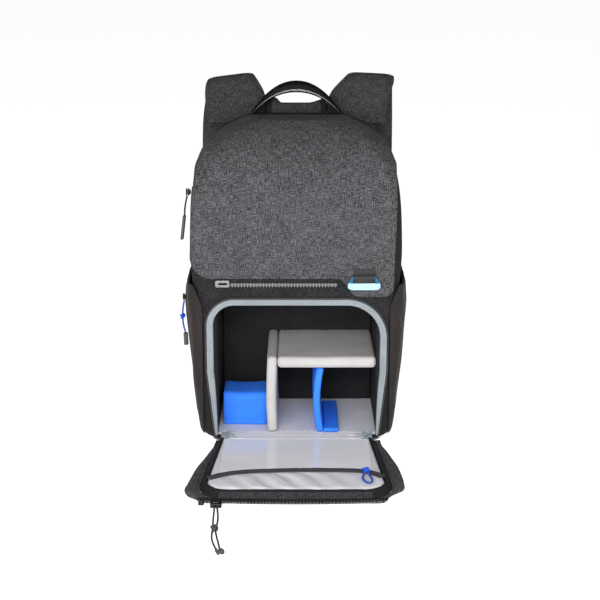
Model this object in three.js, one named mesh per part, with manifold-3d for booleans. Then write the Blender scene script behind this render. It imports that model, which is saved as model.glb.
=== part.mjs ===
// A camera backpack that stands open: its front door is folded down onto the floor.
// Millimetres, +Z up, the front faces -Y, +X is to the right seen from the front.
// The origin is the middle of the base, on the floor.

import * as THREE from 'three';
import { mergeVertices } from 'three/addons/utils/BufferGeometryUtils.js';
import Module from 'manifold-3d';

const wasm = await Module();
wasm.setup();

// Driving dimensions of the bag
const bagWidth = 276;
const bagHeight = 414;
const bagDepth = 190;
const cloth = 2.4;
const clear = 0.3;
const cornerRadius = 17;
const rearRadius = 14;
const basePanelThickness = 3.7;

// Camera compartment
const openingHalfWidth = 117;
const openingCentre = 0.7;
const openingTop = 198;
const openingBottom = 12.3;
const openingTaper = 9.5;
const openingTaperHeight = 88;
const sillHeight = 11.2;
const openingRadiusLeft = 36;
const openingRadiusRight = 52;
const rimWidth = 8.8;
const rimTopWidth = 7.6;
const rimDepth = 12;
const rimProud = 3.3;
const tapeWidth = 2.6;
const tapeThickness = 1.4;
const insertDepth = 130;
const padThickness = 8;
const insertWallInset = 12.6;
const insertRoofDrop = 8.5;
const hingeLiningThickness = 1.5;
const hingeLiningReach = 11;

// Dividers
const dividerThickness = 13;
const uprightHeight = 105;
const uprightX = -31.5;
const shelfHeight = 90;
const shelfThickness = 15;
const blueThickness = 9;
const blueFoldSetback = 28;
const blueFoldDepth = 56;
const blueFoldHeight = 46;
const blueFoldInset = 6;
const blueUprightX = 32;
const blueFootLength = 20;

// Flap
const flapBottom = 225.5;
const flapLeft = -135;
const flapRight = 125;
const flapRearY = 70;
const flapCornerRadius = 27;
const flapShoulder = 372;
const tabLeft = 60;
const tabDrop = 24;
const tabRadius = 13;

// Front zip, hook bar and its webbing
const frontZipLeft = -104;
const frontZipRight = 54;
const frontZipDrop = 11.2;
const zipPitch = 4;
const zipToothDepth = 2.2;
const zipThickness = 1.8;
const silverLength = 19;
const hookX = 87;
const hookZ = 211.5;
const hookTopWidth = 31;
const hookWidth = 43;
const hookHeight = 18;
const hookThickness = 2.8;
const hookSlotWidth = 28;
const hookRail = 3;
const hookSlotHeight = 5;
const webbingThickness = 1.4;
const hookPatchHeight = 9;

// Mouth of the upper room, under the flap
const mouthHalfWidth = 84;
const mouthFront = -14;
const mouthRear = 58;

// Side pockets
const pocketBulge = 13;
const pocketHeight = 217;
const pocketBottom = 9;
const pocketCloth = 2;
const pocketFrontDrop = 28;
const pocketDropReach = 0.055;

// Door, lying on the floor
const doorLength = 192;
const doorTipSag = 7;
const doorSheet = 2.4;
const wingHalfWidth = 132;
const doorPadThickness = 8.5;
const doorPadLength = 172;
const doorPadHalfWidth = 108;
const doorPadRadius = 26;
const doorTapeWidth = 8.5;
const doorTapeThickness = 2.6;
const tipZipWidth = 6;
const tipZipLeft = -116;
const tipZipRight = 109.5;
const windowThickness = 0.8;
const windowEdgeGap = 1.5;
const doorZipWidth = 11;
const windowReach = 0.87;
const doorZipThickness = 1.6;

// Back panel, handle and shoulder straps
const backThickness = 13.5;
const backTop = 427;
const backShoulder = 399;
const backHalfWidth = 118;
const backNotch = 42;
const tongueRise = 9;
const handleHalfSpan = 68;
const handleRise = 45.2;
const handleThickness = 14.8;
const handleFoot = 6.7;
const handleBend = 2.1;
const handleDepth = 24;
const handleRearGap = 0.4;
const strapThickness = 11;
const strapWidth = 61;
const strapCrestLeft = -92;
const strapCrestRight = 104;
const strapHangLeft = -104;
const strapHangRight = 106;
const strapTiltLeft = 8;
const strapTiltRight = 3;
const strapRootWidth = 82;
const strapRise = 62.5;
const strapDrop = 288;
const strapStandoff = 38;
const webbingWidth = 25;
const buckleWidth = 38;
const buckleHeight = 30;
const buckleThickness = 6;
const buckleGap = 0.8;
const anchorHeight = 40;
const anchorWidth = 34;
const anchorLow = 18;
const anchorInset = 12;
const anchorThickness = 2.2;

// Pulls and cords
const pullStrand = 2.2;
const pullReach = 116.8;
const pullShift = 11.4;
const sideCord = 2.4;
const loopCord = 2.4;

const frontY = -bagDepth / 2;
const rearY = bagDepth / 2;

const colours = {
  heather: '#3d3d40',
  shellBlack: '#211f1f',
  pocket: '#2e2825',
  rim: '#8f969b',
  lining: '#b9b9bd',
  darkLining: '#2a2a2c',
  blue: '#2463f0',
  tape: '#17171a',
  metal: '#c6c8ca',
  anodised: '#a6dcf4',
  gloss: '#121213',
  window: '#c8cad4',
  rubber: '#26282a',
};

// Rows of the bag's plan, floor to top. up: share of bagHeight. wide: share of half the width.
// back: share of the depth that the front lies behind its foremost plane.
// round: share of cornerRadius. tilt: how far the wall faces up there, 0 to 1.
const bagRows = [
  { up: 0.0097, wide: 0.86, back: 0.03, round: 1.5, tilt: 0 },
  { up: 0.03, wide: 0.898, back: 0.006, round: 1.1, tilt: 0 },
  { up: 0.075, wide: 0.912, back: 0, round: 0.8, tilt: 0 },
  { up: 0.2, wide: 0.928, back: 0, round: 0.75, tilt: 0 },
  { up: 0.36, wide: 0.952, back: 0, round: 0.75, tilt: 0 },
  { up: 0.5, wide: 0.97, back: 0, round: 0.8, tilt: 0 },
  { up: 0.6, wide: 0.993, back: 0, round: 1, tilt: 0 },
  { up: 0.68, wide: 0.99, back: 0.002, round: 1.05, tilt: 0 },
  { up: 0.745, wide: 0.982, back: 0.012, round: 1.1, tilt: 0.02 },
  { up: 0.8, wide: 0.968, back: 0.035, round: 1.2, tilt: 0.06 },
  { up: 0.85, wide: 0.946, back: 0.075, round: 1.3, tilt: 0.15 },
  { up: 0.895, wide: 0.909, back: 0.135, round: 1.5, tilt: 0.3 },
  { up: 0.93, wide: 0.853, back: 0.205, round: 1.8, tilt: 0.5 },
  { up: 0.955, wide: 0.77, back: 0.275, round: 2, tilt: 0.7 },
  { up: 0.98, wide: 0.63, back: 0.37, round: 2.2, tilt: 0.9 },
  { up: 1, wide: 0.47, back: 0.48, round: 2.4, tilt: 1 },
];

// Geometry helpers

function material(colour, roughness, metalness = 0) {
  return new THREE.MeshStandardMaterial({ color: colour, roughness, metalness });
}

function solidOf(geometry) {
  const bare = new THREE.BufferGeometry();
  const flat = geometry.index ? geometry.toNonIndexed() : geometry;
  bare.setAttribute('position', flat.getAttribute('position').clone());
  const merged = mergeVertices(bare, 1e-4);
  const mesh = new wasm.Mesh({
    numProp: 3,
    vertProperties: merged.attributes.position.array,
    triVerts: new Uint32Array(merged.index.array),
  });
  return new wasm.Manifold(mesh);
}

function geometryOf(solid) {
  const mesh = solid.getMesh();
  const geometry = new THREE.BufferGeometry();
  geometry.setAttribute('position', new THREE.BufferAttribute(mesh.vertProperties, 3));
  geometry.setIndex(new THREE.BufferAttribute(mesh.triVerts, 1));
  return geometry;
}

function cutFrom(geometry, ...cutters) {
  let solid = solidOf(geometry);
  for (const cutter of cutters) solid = solid.subtract(solidOf(cutter));
  return geometryOf(solid);
}

function keepInside(geometry, ...regions) {
  let solid = solidOf(geometry);
  for (const region of regions) solid = solid.intersect(solidOf(region));
  return geometryOf(solid);
}

function joined(first, ...others) {
  let solid = solidOf(first);
  for (const other of others) solid = solid.add(solidOf(other));
  return geometryOf(solid);
}

// A closed body through rings of points, each ring counter-clockwise seen from the last one.
function loft(rings) {
  const count = rings[0].length;
  const positions = [];
  const index = [];
  for (const ring of rings) {
    for (const point of ring) positions.push(point.x, point.y, point.z);
  }
  for (let r = 0; r + 1 < rings.length; r += 1) {
    for (let i = 0; i < count; i += 1) {
      const next = (i + 1) % count;
      const a = r * count + i;
      const b = r * count + next;
      index.push(a, b, b + count, a, b + count, a + count);
    }
  }
  for (const [ring, flip] of [[0, true], [rings.length - 1, false]]) {
    const middle = new THREE.Vector3();
    for (const point of rings[ring]) middle.addScaledVector(point, 1 / count);
    const centre = positions.length / 3;
    positions.push(middle.x, middle.y, middle.z);
    for (let i = 0; i < count; i += 1) {
      const a = ring * count + i;
      const b = ring * count + ((i + 1) % count);
      if (flip) index.push(b, a, centre);
      else index.push(a, b, centre);
    }
  }
  const geometry = new THREE.BufferGeometry();
  geometry.setAttribute('position', new THREE.Float32BufferAttribute(positions, 3));
  geometry.setIndex(index);
  return geometry;
}

// A closed sheet: pointAt(u, v, face) gives the near face (0) and the far face (1).
function closedSheet(stepsU, stepsV, pointAt) {
  const rings = [];
  for (let j = 0; j <= stepsV; j += 1) {
    const near = [];
    const far = [];
    for (let i = 0; i <= stepsU; i += 1) {
      near.push(pointAt(i / stepsU, j / stepsV, 0));
      far.push(pointAt(i / stepsU, j / stepsV, 1));
    }
    rings.push([...near, ...far.reverse()]);
  }
  const count = rings[0].length;
  const side = stepsU + 1;
  const geometry = loft(rings);
  const index = Array.from(geometry.index.array);
  const wall = index.slice(0, (rings.length - 1) * count * 6);
  for (const [ring, flip] of [[0, true], [rings.length - 1, false]]) {
    const first = ring * count;
    for (let i = 0; i + 1 < side; i += 1) {
      const a = first + i;
      const b = first + i + 1;
      const c = first + count - 1 - (i + 1);
      const d = first + count - 1 - i;
      if (flip) wall.push(b, a, d, b, d, c);
      else wall.push(a, b, c, a, c, d);
    }
  }
  const sheet = new THREE.BufferGeometry();
  sheet.setAttribute('position', geometry.getAttribute('position'));
  sheet.setIndex(wall);
  return outward(sheet);
}

function outward(geometry) {
  const flat = geometry.toNonIndexed();
  const points = flat.getAttribute('position');
  const a = new THREE.Vector3();
  const b = new THREE.Vector3();
  const c = new THREE.Vector3();
  let volume = 0;
  for (let i = 0; i < points.count; i += 3) {
    a.fromBufferAttribute(points, i);
    b.fromBufferAttribute(points, i + 1);
    c.fromBufferAttribute(points, i + 2);
    volume += a.dot(b.cross(c));
  }
  if (volume > 0) return flat;
  for (let i = 0; i < points.count; i += 3) {
    b.fromBufferAttribute(points, i + 1);
    c.fromBufferAttribute(points, i + 2);
    points.setXYZ(i + 1, c.x, c.y, c.z);
    points.setXYZ(i + 2, b.x, b.y, b.z);
  }
  return flat;
}

function extruded(shape, depth, curveSegments = 8) {
  return new THREE.ExtrudeGeometry(shape, { depth, curveSegments, bevelEnabled: false });
}

// A shape drawn in X and Z, from the front Y to the rear Y.
function alongY(shape, front, rear, curveSegments = 8) {
  return extruded(shape, rear - front, curveSegments).rotateX(Math.PI / 2).translate(0, rear, 0);
}

// A shape drawn in X and Y, from one height to another.
function alongZ(shape, low, high, curveSegments = 8) {
  return extruded(shape, high - low, curveSegments).translate(0, 0, low);
}

// A shape drawn in Y and Z, from the left X to the right X.
function alongX(shape, left, right, curveSegments = 8) {
  const axes = new THREE.Matrix4().makeBasis(
    new THREE.Vector3(0, 1, 0),
    new THREE.Vector3(0, 0, 1),
    new THREE.Vector3(1, 0, 0),
  );
  return extruded(shape, right - left, curveSegments).applyMatrix4(axes).translate(left, 0, 0);
}

function boxBetween(left, right, front, rear, low, high) {
  const box = new THREE.BoxGeometry(right - left, rear - front, high - low);
  return box.translate((left + right) / 2, (front + rear) / 2, (low + high) / 2);
}

function polygon(points) {
  return new THREE.Shape(points.map(([x, y]) => new THREE.Vector2(x, y)));
}

function roundedBox(left, right, low, high, radius) {
  const shape = new THREE.Shape();
  shape.moveTo(left + radius, low);
  shape.lineTo(right - radius, low);
  shape.absarc(right - radius, low + radius, radius, -Math.PI / 2, 0, false);
  shape.lineTo(right, high - radius);
  shape.absarc(right - radius, high - radius, radius, 0, Math.PI / 2, false);
  shape.lineTo(left + radius, high);
  shape.absarc(left + radius, high - radius, radius, Math.PI / 2, Math.PI, false);
  shape.lineTo(left, low + radius);
  shape.absarc(left + radius, low + radius, radius, Math.PI, Math.PI * 1.5, false);
  return shape;
}

function tube(points, diameter, sides = 8) {
  const curve = new THREE.CatmullRomCurve3(points.map((p) => new THREE.Vector3(...p)), false, 'centripetal');
  const section = new THREE.Shape();
  for (let i = 0; i < sides; i += 1) {
    const angle = (i / sides) * Math.PI * 2;
    const x = (Math.cos(angle) * diameter) / 2;
    const y = (Math.sin(angle) * diameter) / 2;
    if (i === 0) section.moveTo(x, y);
    else section.lineTo(x, y);
  }
  const steps = Math.max(4, Math.round(curve.getLength() / (2.5 * diameter)));
  return new THREE.ExtrudeGeometry(section, { steps, bevelEnabled: false, extrudePath: curve });
}

function valueAt(rows, key, at, column) {
  let k = 0;
  while (k + 2 < rows.length && at > rows[k + 1][key]) k += 1;
  const a = rows[k];
  const b = rows[k + 1];
  const t = (at - a[key]) / (b[key] - a[key]);
  return a[column] + (b[column] - a[column]) * Math.min(1, Math.max(0, t));
}

// The bag's own form

function bagPlan(row, grow) {
  const halfWidth = (row.wide * bagWidth) / 2 + grow;
  const front = frontY + row.back * bagDepth - grow;
  const rear = rearY + grow;
  const frontR = Math.max(2, row.round * cornerRadius + grow);
  const rearR = Math.max(2, rearRadius + grow);
  return { halfWidth, front, rear, frontR, rearR };
}

function bagRing(row, grow) {
  const plan = bagPlan(row, grow);
  const z = row.up * bagHeight + grow * row.tilt;
  const corners = [
    [plan.halfWidth - plan.frontR, plan.front + plan.frontR, plan.frontR, -Math.PI / 2],
    [plan.halfWidth - plan.rearR, plan.rear - plan.rearR, plan.rearR, 0],
    [-plan.halfWidth + plan.rearR, plan.rear - plan.rearR, plan.rearR, Math.PI / 2],
    [-plan.halfWidth + plan.frontR, plan.front + plan.frontR, plan.frontR, Math.PI],
  ];
  const steps = 4;
  const ring = [];
  for (const [x, y, radius, start] of corners) {
    for (let i = 0; i <= steps; i += 1) {
      const angle = start + (i / steps) * (Math.PI / 2);
      ring.push(new THREE.Vector3(x + Math.cos(angle) * radius, y + Math.sin(angle) * radius, z));
    }
  }
  return ring;
}

function bagForm(grow, rows = bagRows) {
  return loft(rows.map((row) => bagRing(row, grow)));
}

// The room inside the cloth, less a margin, carried on down through the floor.
function bagInside(margin) {
  const rings = bagRows.map((row) => bagRing(row, -cloth - margin));
  const below = rings[0].map((p) => new THREE.Vector3(p.x, p.y, -5));
  return loft([below, ...rings]);
}

// A point of the bag's side, from the front seam (s = 0) round the corner to the rear seam (s = 1).
function sideSkin(s, z, side, seamX, rearSeamY) {
  const at = z / bagHeight;
  const halfWidth = (valueAt(bagRows, 'up', at, 'wide') * bagWidth) / 2;
  const front = frontY + valueAt(bagRows, 'up', at, 'back') * bagDepth;
  const radius = valueAt(bagRows, 'up', at, 'round') * cornerRadius;
  const flatLength = Math.max(0, halfWidth - radius - seamX);
  const startAngle = Math.asin(Math.min(1, Math.max(0, (seamX - (halfWidth - radius)) / radius)));
  const arcLength = radius * (Math.PI / 2 - startAngle);
  const sideLength = rearSeamY - (front + radius);
  let way = s * (flatLength + arcLength + sideLength);
  let x = 0;
  let y = 0;
  let nx = 0;
  let ny = 0;
  if (way < flatLength) {
    x = seamX + way;
    y = front;
    ny = -1;
  } else if (way < flatLength + arcLength) {
    const angle = startAngle + (way - flatLength) / radius;
    x = halfWidth - radius + Math.sin(angle) * radius;
    y = front + radius - Math.cos(angle) * radius;
    nx = Math.sin(angle);
    ny = -Math.cos(angle);
  } else {
    way -= flatLength + arcLength;
    x = halfWidth;
    y = front + radius + way;
    nx = 1;
  }
  return { point: new THREE.Vector3(side * x, y, z), normal: new THREE.Vector3(side * nx, ny, 0) };
}

// Outline of the camera opening, grown outwards by grow, with its own cut at the top and bottom.
function openingShape(grow, topGrow = grow, bottom = openingBottom) {
  const left = openingCentre - openingHalfWidth - grow;
  const right = openingCentre + openingHalfWidth + grow;
  const top = openingTop + topGrow;
  const taperTop = openingBottom + openingTaperHeight;
  const leftR = openingRadiusLeft + grow;
  const rightR = openingRadiusRight + grow;
  const shape = new THREE.Shape();
  shape.moveTo(left + openingTaper, bottom);
  if (bottom < openingBottom) shape.lineTo(left + openingTaper, openingBottom);
  shape.lineTo(left, taperTop);
  shape.lineTo(left, top - leftR);
  shape.absarc(left + leftR, top - leftR, leftR, Math.PI, Math.PI / 2, true);
  shape.lineTo(right - rightR, top);
  shape.absarc(right - rightR, top - rightR, rightR, Math.PI / 2, 0, true);
  shape.lineTo(right, taperTop);
  if (bottom < openingBottom) shape.lineTo(right - openingTaper, openingBottom);
  shape.lineTo(right - openingTaper, bottom);
  return shape;
}

// Bag body

function bagShell() {
  const mouth = alongZ(
    roundedBox(-mouthHalfWidth, mouthHalfWidth, mouthFront, mouthRear, 20),
    bagHeight * 0.9,
    bagHeight + 20,
    5,
  );
  const opening = alongY(openingShape(clear, clear, sillHeight), frontY - 10, frontY + 12, 6);
  return cutFrom(bagForm(0), bagInside(0), mouth, opening);
}

function basePanel() {
  const low = { ...bagRows[0], wide: bagRows[0].wide * 0.975, back: bagRows[0].back * 1.2 };
  const bottom = bagRing(low, 0).map((p) => new THREE.Vector3(p.x, p.y, 0));
  const top = bagRing(bagRows[0], -clear).map((p) => new THREE.Vector3(p.x, p.y, basePanelThickness));
  return loft([bottom, top]);
}

// The tongue's top edge between the straps' roots, from right to left.
// across: share of backNotch. rise: share of tongueRise.
const tongueRows = [
  { across: 1, rise: 1 },
  { across: 0.81, rise: 0.5 },
  { across: 0.48, rise: 0 },
  { across: -0.52, rise: 0 },
  { across: -0.65, rise: 0.75 },
  { across: -1, rise: 1 },
];

function backPanel() {
  const r = 10;
  const shape = new THREE.Shape();
  const half = backHalfWidth;
  shape.moveTo(-half + r, 6);
  shape.lineTo(half - r, 6);
  shape.absarc(half - r, 6 + r, r, -Math.PI / 2, 0, false);
  shape.lineTo(half, backShoulder - 28);
  shape.lineTo(half - 9, backShoulder);
  shape.lineTo(backNotch, backShoulder);
  for (const row of tongueRows) shape.lineTo(backNotch * row.across, backTop + tongueRise * row.rise);
  shape.lineTo(-backNotch, backShoulder);
  shape.lineTo(-half + 9, backShoulder);
  shape.lineTo(-half, backShoulder - 28);
  shape.lineTo(-half, 6 + r);
  shape.absarc(-half + r, 6 + r, r, Math.PI, Math.PI * 1.5, false);
  return alongY(shape, rearY + clear, rearY + clear + backThickness, 4);
}

// Flap and what it carries

function flapOutline() {
  const shape = new THREE.Shape();
  const beyond = bagWidth;
  const tabBottom = flapBottom - tabDrop;
  shape.moveTo(flapLeft + flapCornerRadius, flapBottom);
  shape.lineTo(tabLeft - 6, flapBottom);
  shape.bezierCurveTo(tabLeft + 8, flapBottom, tabLeft + 6, tabBottom, tabLeft + 24, tabBottom);
  shape.lineTo(flapRight - tabRadius, tabBottom);
  shape.absarc(flapRight - tabRadius, tabBottom + tabRadius, tabRadius, -Math.PI / 2, 0, false);
  shape.lineTo(flapRight + 2, flapShoulder - 30);
  shape.lineTo(flapRight + 6, flapShoulder);
  shape.lineTo(beyond, flapShoulder);
  shape.lineTo(beyond, bagHeight + beyond);
  shape.lineTo(-beyond, bagHeight + beyond);
  shape.lineTo(-beyond, flapShoulder);
  shape.lineTo(flapLeft + 4, flapShoulder);
  shape.lineTo(flapLeft + 3, flapShoulder - 30);
  shape.lineTo(flapLeft, flapBottom + flapCornerRadius);
  const r = flapCornerRadius;
  shape.absarc(flapLeft + r, flapBottom + r, r, Math.PI, Math.PI * 1.5, false);
  return shape;
}

function flap() {
  const rows = bagRows.filter((row) => row.up > 0.3);
  const skin = cutFrom(bagForm(clear + cloth, rows), bagForm(clear, [{ ...rows[0], up: 0.3 }, ...rows]));
  return keepInside(skin, alongY(flapOutline(), frontY - 30, flapRearY, 6));
}

const flapFace = frontY - clear - cloth;

// A zip's tape with its teeth along the lower edge. edgeAt(x) is that edge.
function zipComb(left, right, edgeAt, width, toothDepth) {
  const pairs = Math.floor((right - left) / zipPitch);
  const pitch = (right - left) / pairs;
  const points = [];
  for (let i = 0; i < pairs; i += 1) {
    const x = left + i * pitch;
    const low = edgeAt(x + pitch / 2);
    points.push([x, low], [x + pitch * 0.25, low - toothDepth]);
    points.push([x + pitch * 0.65, low - toothDepth], [x + pitch * 0.9, low]);
  }
  for (const share of [1, 0.75, 0.5, 0.25, 0]) {
    const x = left + (right - left) * share;
    points.push([x, edgeAt(x) + width]);
  }
  return polygon(points);
}

function frontZip() {
  const top = flapBottom - clear;
  const width = frontZipDrop - zipToothDepth;
  const shape = zipComb(frontZipLeft, frontZipRight, () => top - width, width, zipToothDepth);
  return alongY(shape, frontY - clear - zipThickness, frontY - clear);
}

function frontZipEnd() {
  const top = flapBottom - clear;
  const face = frontY - clear - zipThickness - clear;
  const shape = roundedBox(frontZipLeft, frontZipLeft + silverLength, top - 10.5, top - 0.5, 3);
  return alongY(shape, face - 4, face, 3);
}

function hookOutline() {
  const top = hookZ + hookHeight;
  const points = [
    [-hookTopWidth / 2 + 1, hookZ], [hookTopWidth / 2 - 1, hookZ],
    [hookWidth / 2 - 2, hookZ + 3], [hookWidth / 2, hookZ + 7],
    [hookTopWidth / 2 + 1.5, top - 2], [hookTopWidth / 2, top],
    [-hookTopWidth / 2, top], [-hookTopWidth / 2 - 1.5, top - 2],
    [-hookWidth / 2, hookZ + 7], [-hookWidth / 2 + 2, hookZ + 3],
  ];
  return polygon(points.map(([x, z]) => [x + hookX, z]));
}

const hookRear = flapFace - clear - webbingThickness - clear;
const hookFace = hookRear - hookThickness;
const hookTop = hookZ + hookHeight;

function hookBar() {
  const slotLow = hookTop - hookRail - hookSlotHeight;
  const slot = boxBetween(
    hookX - hookSlotWidth / 2,
    hookX + hookSlotWidth / 2,
    hookFace - 5,
    hookRear + 5,
    slotLow,
    hookTop - hookRail,
  );
  return cutFrom(alongY(hookOutline(), hookFace, hookRear), slot);
}

function hookWebbing() {
  const near = flapFace - clear;
  const face = hookFace - clear - webbingThickness;
  const low = hookTop - hookRail - clear - webbingThickness;
  const high = hookTop + clear;
  const outer = polygon([
    [near, low], [near, high + hookPatchHeight], [near - webbingThickness, high + hookPatchHeight],
    [face, high + 2], [face, low],
  ]);
  const hole = polygon([
    [hookRear + clear, hookTop - hookRail - clear],
    [hookRear + clear, high],
    [hookFace - clear, high],
    [hookFace - clear, hookTop - hookRail - clear],
  ]);
  outer.holes.push(hole);
  const half = hookSlotWidth / 2 - clear;
  return alongX(outer, hookX - half, hookX + half);
}

// Camera compartment

const insertFront = frontY + rimDepth - rimProud + clear;
const insertRear = insertFront + insertDepth;
const insertLeft = openingCentre - openingHalfWidth + insertWallInset;
const insertRight = openingCentre + openingHalfWidth - insertWallInset;
const insertFloorLow = basePanelThickness + clear;
const insertFloorTop = insertFloorLow + padThickness;
const insertRoofLow = openingTop - insertRoofDrop;

function openingRim() {
  const front = frontY - rimProud;
  const outer = alongY(openingShape(0), front, front + rimDepth, 7);
  const inner = alongY(openingShape(-rimWidth, -rimTopWidth, -20), front - 5, front + rimDepth + 5, 7);
  return cutFrom(outer, inner);
}

function openingTape() {
  const front = frontY - clear - tapeThickness;
  const outer = alongY(openingShape(clear + tapeWidth), front, frontY - clear, 6);
  const inner = alongY(openingShape(clear, clear, -20), front - 5, frontY + 5, 6);
  return cutFrom(outer, inner);
}

function insertFloor() {
  const slab = boxBetween(
    -bagWidth / 2,
    bagWidth / 2,
    insertFront,
    insertRear + padThickness,
    insertFloorLow,
    insertFloorTop,
  );
  return keepInside(slab, bagInside(clear));
}

function insertRoof() {
  const slab = boxBetween(
    -bagWidth / 2,
    bagWidth / 2,
    insertFront,
    insertRear + padThickness,
    insertRoofLow,
    insertRoofLow + padThickness,
  );
  return keepInside(slab, bagInside(clear));
}

function insertSide(side) {
  const near = side < 0 ? insertLeft - padThickness : insertRight;
  return boxBetween(
    near,
    near + padThickness,
    insertFront,
    insertRear + padThickness,
    insertFloorTop + clear,
    insertRoofLow - clear,
  );
}

function insertBack() {
  return boxBetween(
    insertLeft + clear,
    insertRight - clear,
    insertRear,
    insertRear + padThickness,
    insertFloorTop + clear,
    insertRoofLow - clear,
  );
}

// An upright pad whose middle line bends sideways. lean: share of the pad's height to sideways shift.
function bentPad(x, low, high, thickness, front, rear, bend) {
  const shift = (v) => bend * Math.sin(v * Math.PI);
  return closedSheet(1, 6, (u, v, face) => new THREE.Vector3(
    x + shift(v) + (face ? thickness / 2 : -thickness / 2),
    front + (rear - front) * u,
    low + (high - low) * v,
  ));
}

const dividerFront = insertFront - 1.5;
const dividerRear = insertRear - clear;
const shelfLow = insertFloorTop + shelfHeight;

function dividerUpright() {
  const low = insertFloorTop + clear;
  return bentPad(uprightX, low, low + uprightHeight, dividerThickness, dividerFront, dividerRear, -1.5);
}

function dividerShelf() {
  const left = uprightX + dividerThickness / 2 + clear;
  return boxBetween(
    left,
    insertRight - clear,
    dividerFront,
    dividerRear,
    shelfLow,
    shelfLow + shelfThickness,
  );
}

function dividerBlueUpright() {
  const low = insertFloorTop + clear;
  const high = shelfLow - clear;
  const lower = low + blueThickness * 0.6;
  const pad = bentPad(blueUprightX, lower, high, blueThickness, dividerFront, dividerRear - 20, -3.2);
  const foot = boxBetween(
    blueUprightX - blueThickness / 2,
    blueUprightX + blueThickness / 2 + blueFootLength,
    dividerFront,
    dividerRear - 20,
    low,
    lower + 0.5,
  );
  return joined(pad, foot);
}

function dividerBlueFold() {
  const front = insertFront + blueFoldSetback;
  const rear = front + blueFoldDepth;
  const low = insertFloorTop + clear;
  const high = low + blueFoldHeight;
  const t = blueThickness;
  const r = 7;
  const shape = new THREE.Shape();
  shape.moveTo(front, low);
  shape.lineTo(front + t, low);
  shape.lineTo(front + t, high - t);
  shape.lineTo(rear - t, high - t);
  shape.lineTo(rear - t, low);
  shape.lineTo(rear, low);
  shape.lineTo(rear, high - r);
  shape.absarc(rear - r, high - r, r, 0, Math.PI / 2, false);
  shape.lineTo(front + r, high);
  shape.absarc(front + r, high - r, r, Math.PI / 2, Math.PI, false);
  const right = uprightX - dividerThickness / 2 - 1.5 - clear;
  return alongX(shape, insertLeft + blueFoldInset, right, 3);
}

// Side pockets

// up: share of the pocket's height. out: share of pocketBulge.
const pocketRows = [
  { up: 0, out: 0 },
  { up: 0.05, out: 0.15 },
  { up: 0.16, out: 0.58 },
  { up: 0.5, out: 0.76 },
  { up: 0.75, out: 0.97 },
  { up: 0.84, out: 1 },
  { up: 0.93, out: 0.84 },
  { up: 1, out: 0.4 },
];

const pocketSeamX = openingCentre + openingHalfWidth + clear + tapeWidth + 2 * clear;
const pocketRearY = rearY - rearRadius - 1;

function pocketTop(s) {
  return pocketHeight - pocketFrontDrop * Math.max(0, 1 - s / pocketDropReach) ** 1.2;
}

// The steps lie closer together at the front, where the pocket turns the bag's corner.
function sidePocket(side) {
  const sheet = closedSheet(14, 10, (u, v, face) => {
    const s = u ** 1.6;
    const z = pocketBottom + (pocketTop(s) - pocketBottom) * v;
    const skin = sideSkin(s, z, side, pocketSeamX, pocketRearY);
    const across = Math.sin(Math.PI * Math.min(1, s * 0.92 + 0.04)) ** 0.7 - 0.25;
    const bulge = pocketBulge * valueAt(pocketRows, 'up', v, 'out') * Math.max(0, across) * 1.33;
    const edge = u === 0 || u === 1 ? 0 : bulge;
    return skin.point.addScaledVector(skin.normal, 1.5 * clear + edge + (face ? pocketCloth : 0));
  });
  return cutFrom(sheet, bagForm(clear));
}

// Door

const doorBack = frontY - rimProud - clear;
const doorTip = doorBack - doorLength;

// along: share of doorLength from the hinge. left, right: shares of wingHalfWidth.
const wingRows = [
  { along: 0, left: 0.81, right: 0.85 },
  { along: 0.06, left: 0.822, right: 0.86 },
  { along: 0.163, left: 0.855, right: 0.9 },
  { along: 0.303, left: 0.9, right: 0.942 },
  { along: 0.437, left: 0.95, right: 0.98 },
  { along: 0.712, left: 1.01, right: 1.007 },
  { along: 0.79, left: 1.025, right: 0.99 },
  { along: 0.88, left: 0.985, right: 0.87 },
  { along: 0.93, left: 0.91, right: 0.83 },
];

// The door's front edge bows forward by doorTipSag in its middle.
function tipY(x) {
  return doorTip + doorTipSag * (x / wingHalfWidth) ** 2;
}

function doorOuter() {
  const rear = frontY + bagRows[0].back * bagDepth;
  const points = [[-wingHalfWidth * wingRows[0].left, rear]];
  for (const row of wingRows) points.push([-wingHalfWidth * row.left, doorBack - doorLength * row.along]);
  for (const share of [-0.85, -0.6, -0.3, 0, 0.3, 0.6, 0.8]) {
    points.push([wingHalfWidth * share, tipY(wingHalfWidth * share)]);
  }
  for (const row of [...wingRows].reverse()) {
    points.push([wingHalfWidth * row.right, doorBack - doorLength * row.along]);
  }
  points.push([wingHalfWidth * wingRows[0].right, rear]);
  return alongZ(polygon(points), 0, doorSheet);
}

// Outline of the door's pad, grown by grow at the sides and front.
function padShape(grow, rear) {
  const front = doorBack - doorPadLength - grow;
  const wide = doorPadHalfWidth + grow;
  const narrow = doorPadHalfWidth * 0.89 + grow;
  const r = doorPadRadius + grow;
  const shape = new THREE.Shape();
  shape.moveTo(narrow, rear);
  shape.lineTo(-narrow, rear);
  shape.lineTo(-wide, front + r);
  shape.absarc(-wide + r, front + r, r, Math.PI, Math.PI * 1.5, false);
  shape.lineTo(wide - r, front);
  shape.absarc(wide - r, front + r, r, -Math.PI / 2, 0, false);
  return shape;
}

const padLow = doorSheet + clear;
const padTop = padLow + doorPadThickness;

function doorPad() {
  return alongZ(padShape(0, doorBack), padLow, padTop, 6);
}

function doorTape() {
  const outer = alongZ(padShape(clear + doorTapeWidth, doorBack), padLow, padLow + doorTapeThickness, 6);
  const inner = alongZ(padShape(clear, doorBack + 5), padLow - 2, padLow + 20, 6);
  return cutFrom(outer, inner);
}

const liningLow = insertFloorTop + clear;

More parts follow.
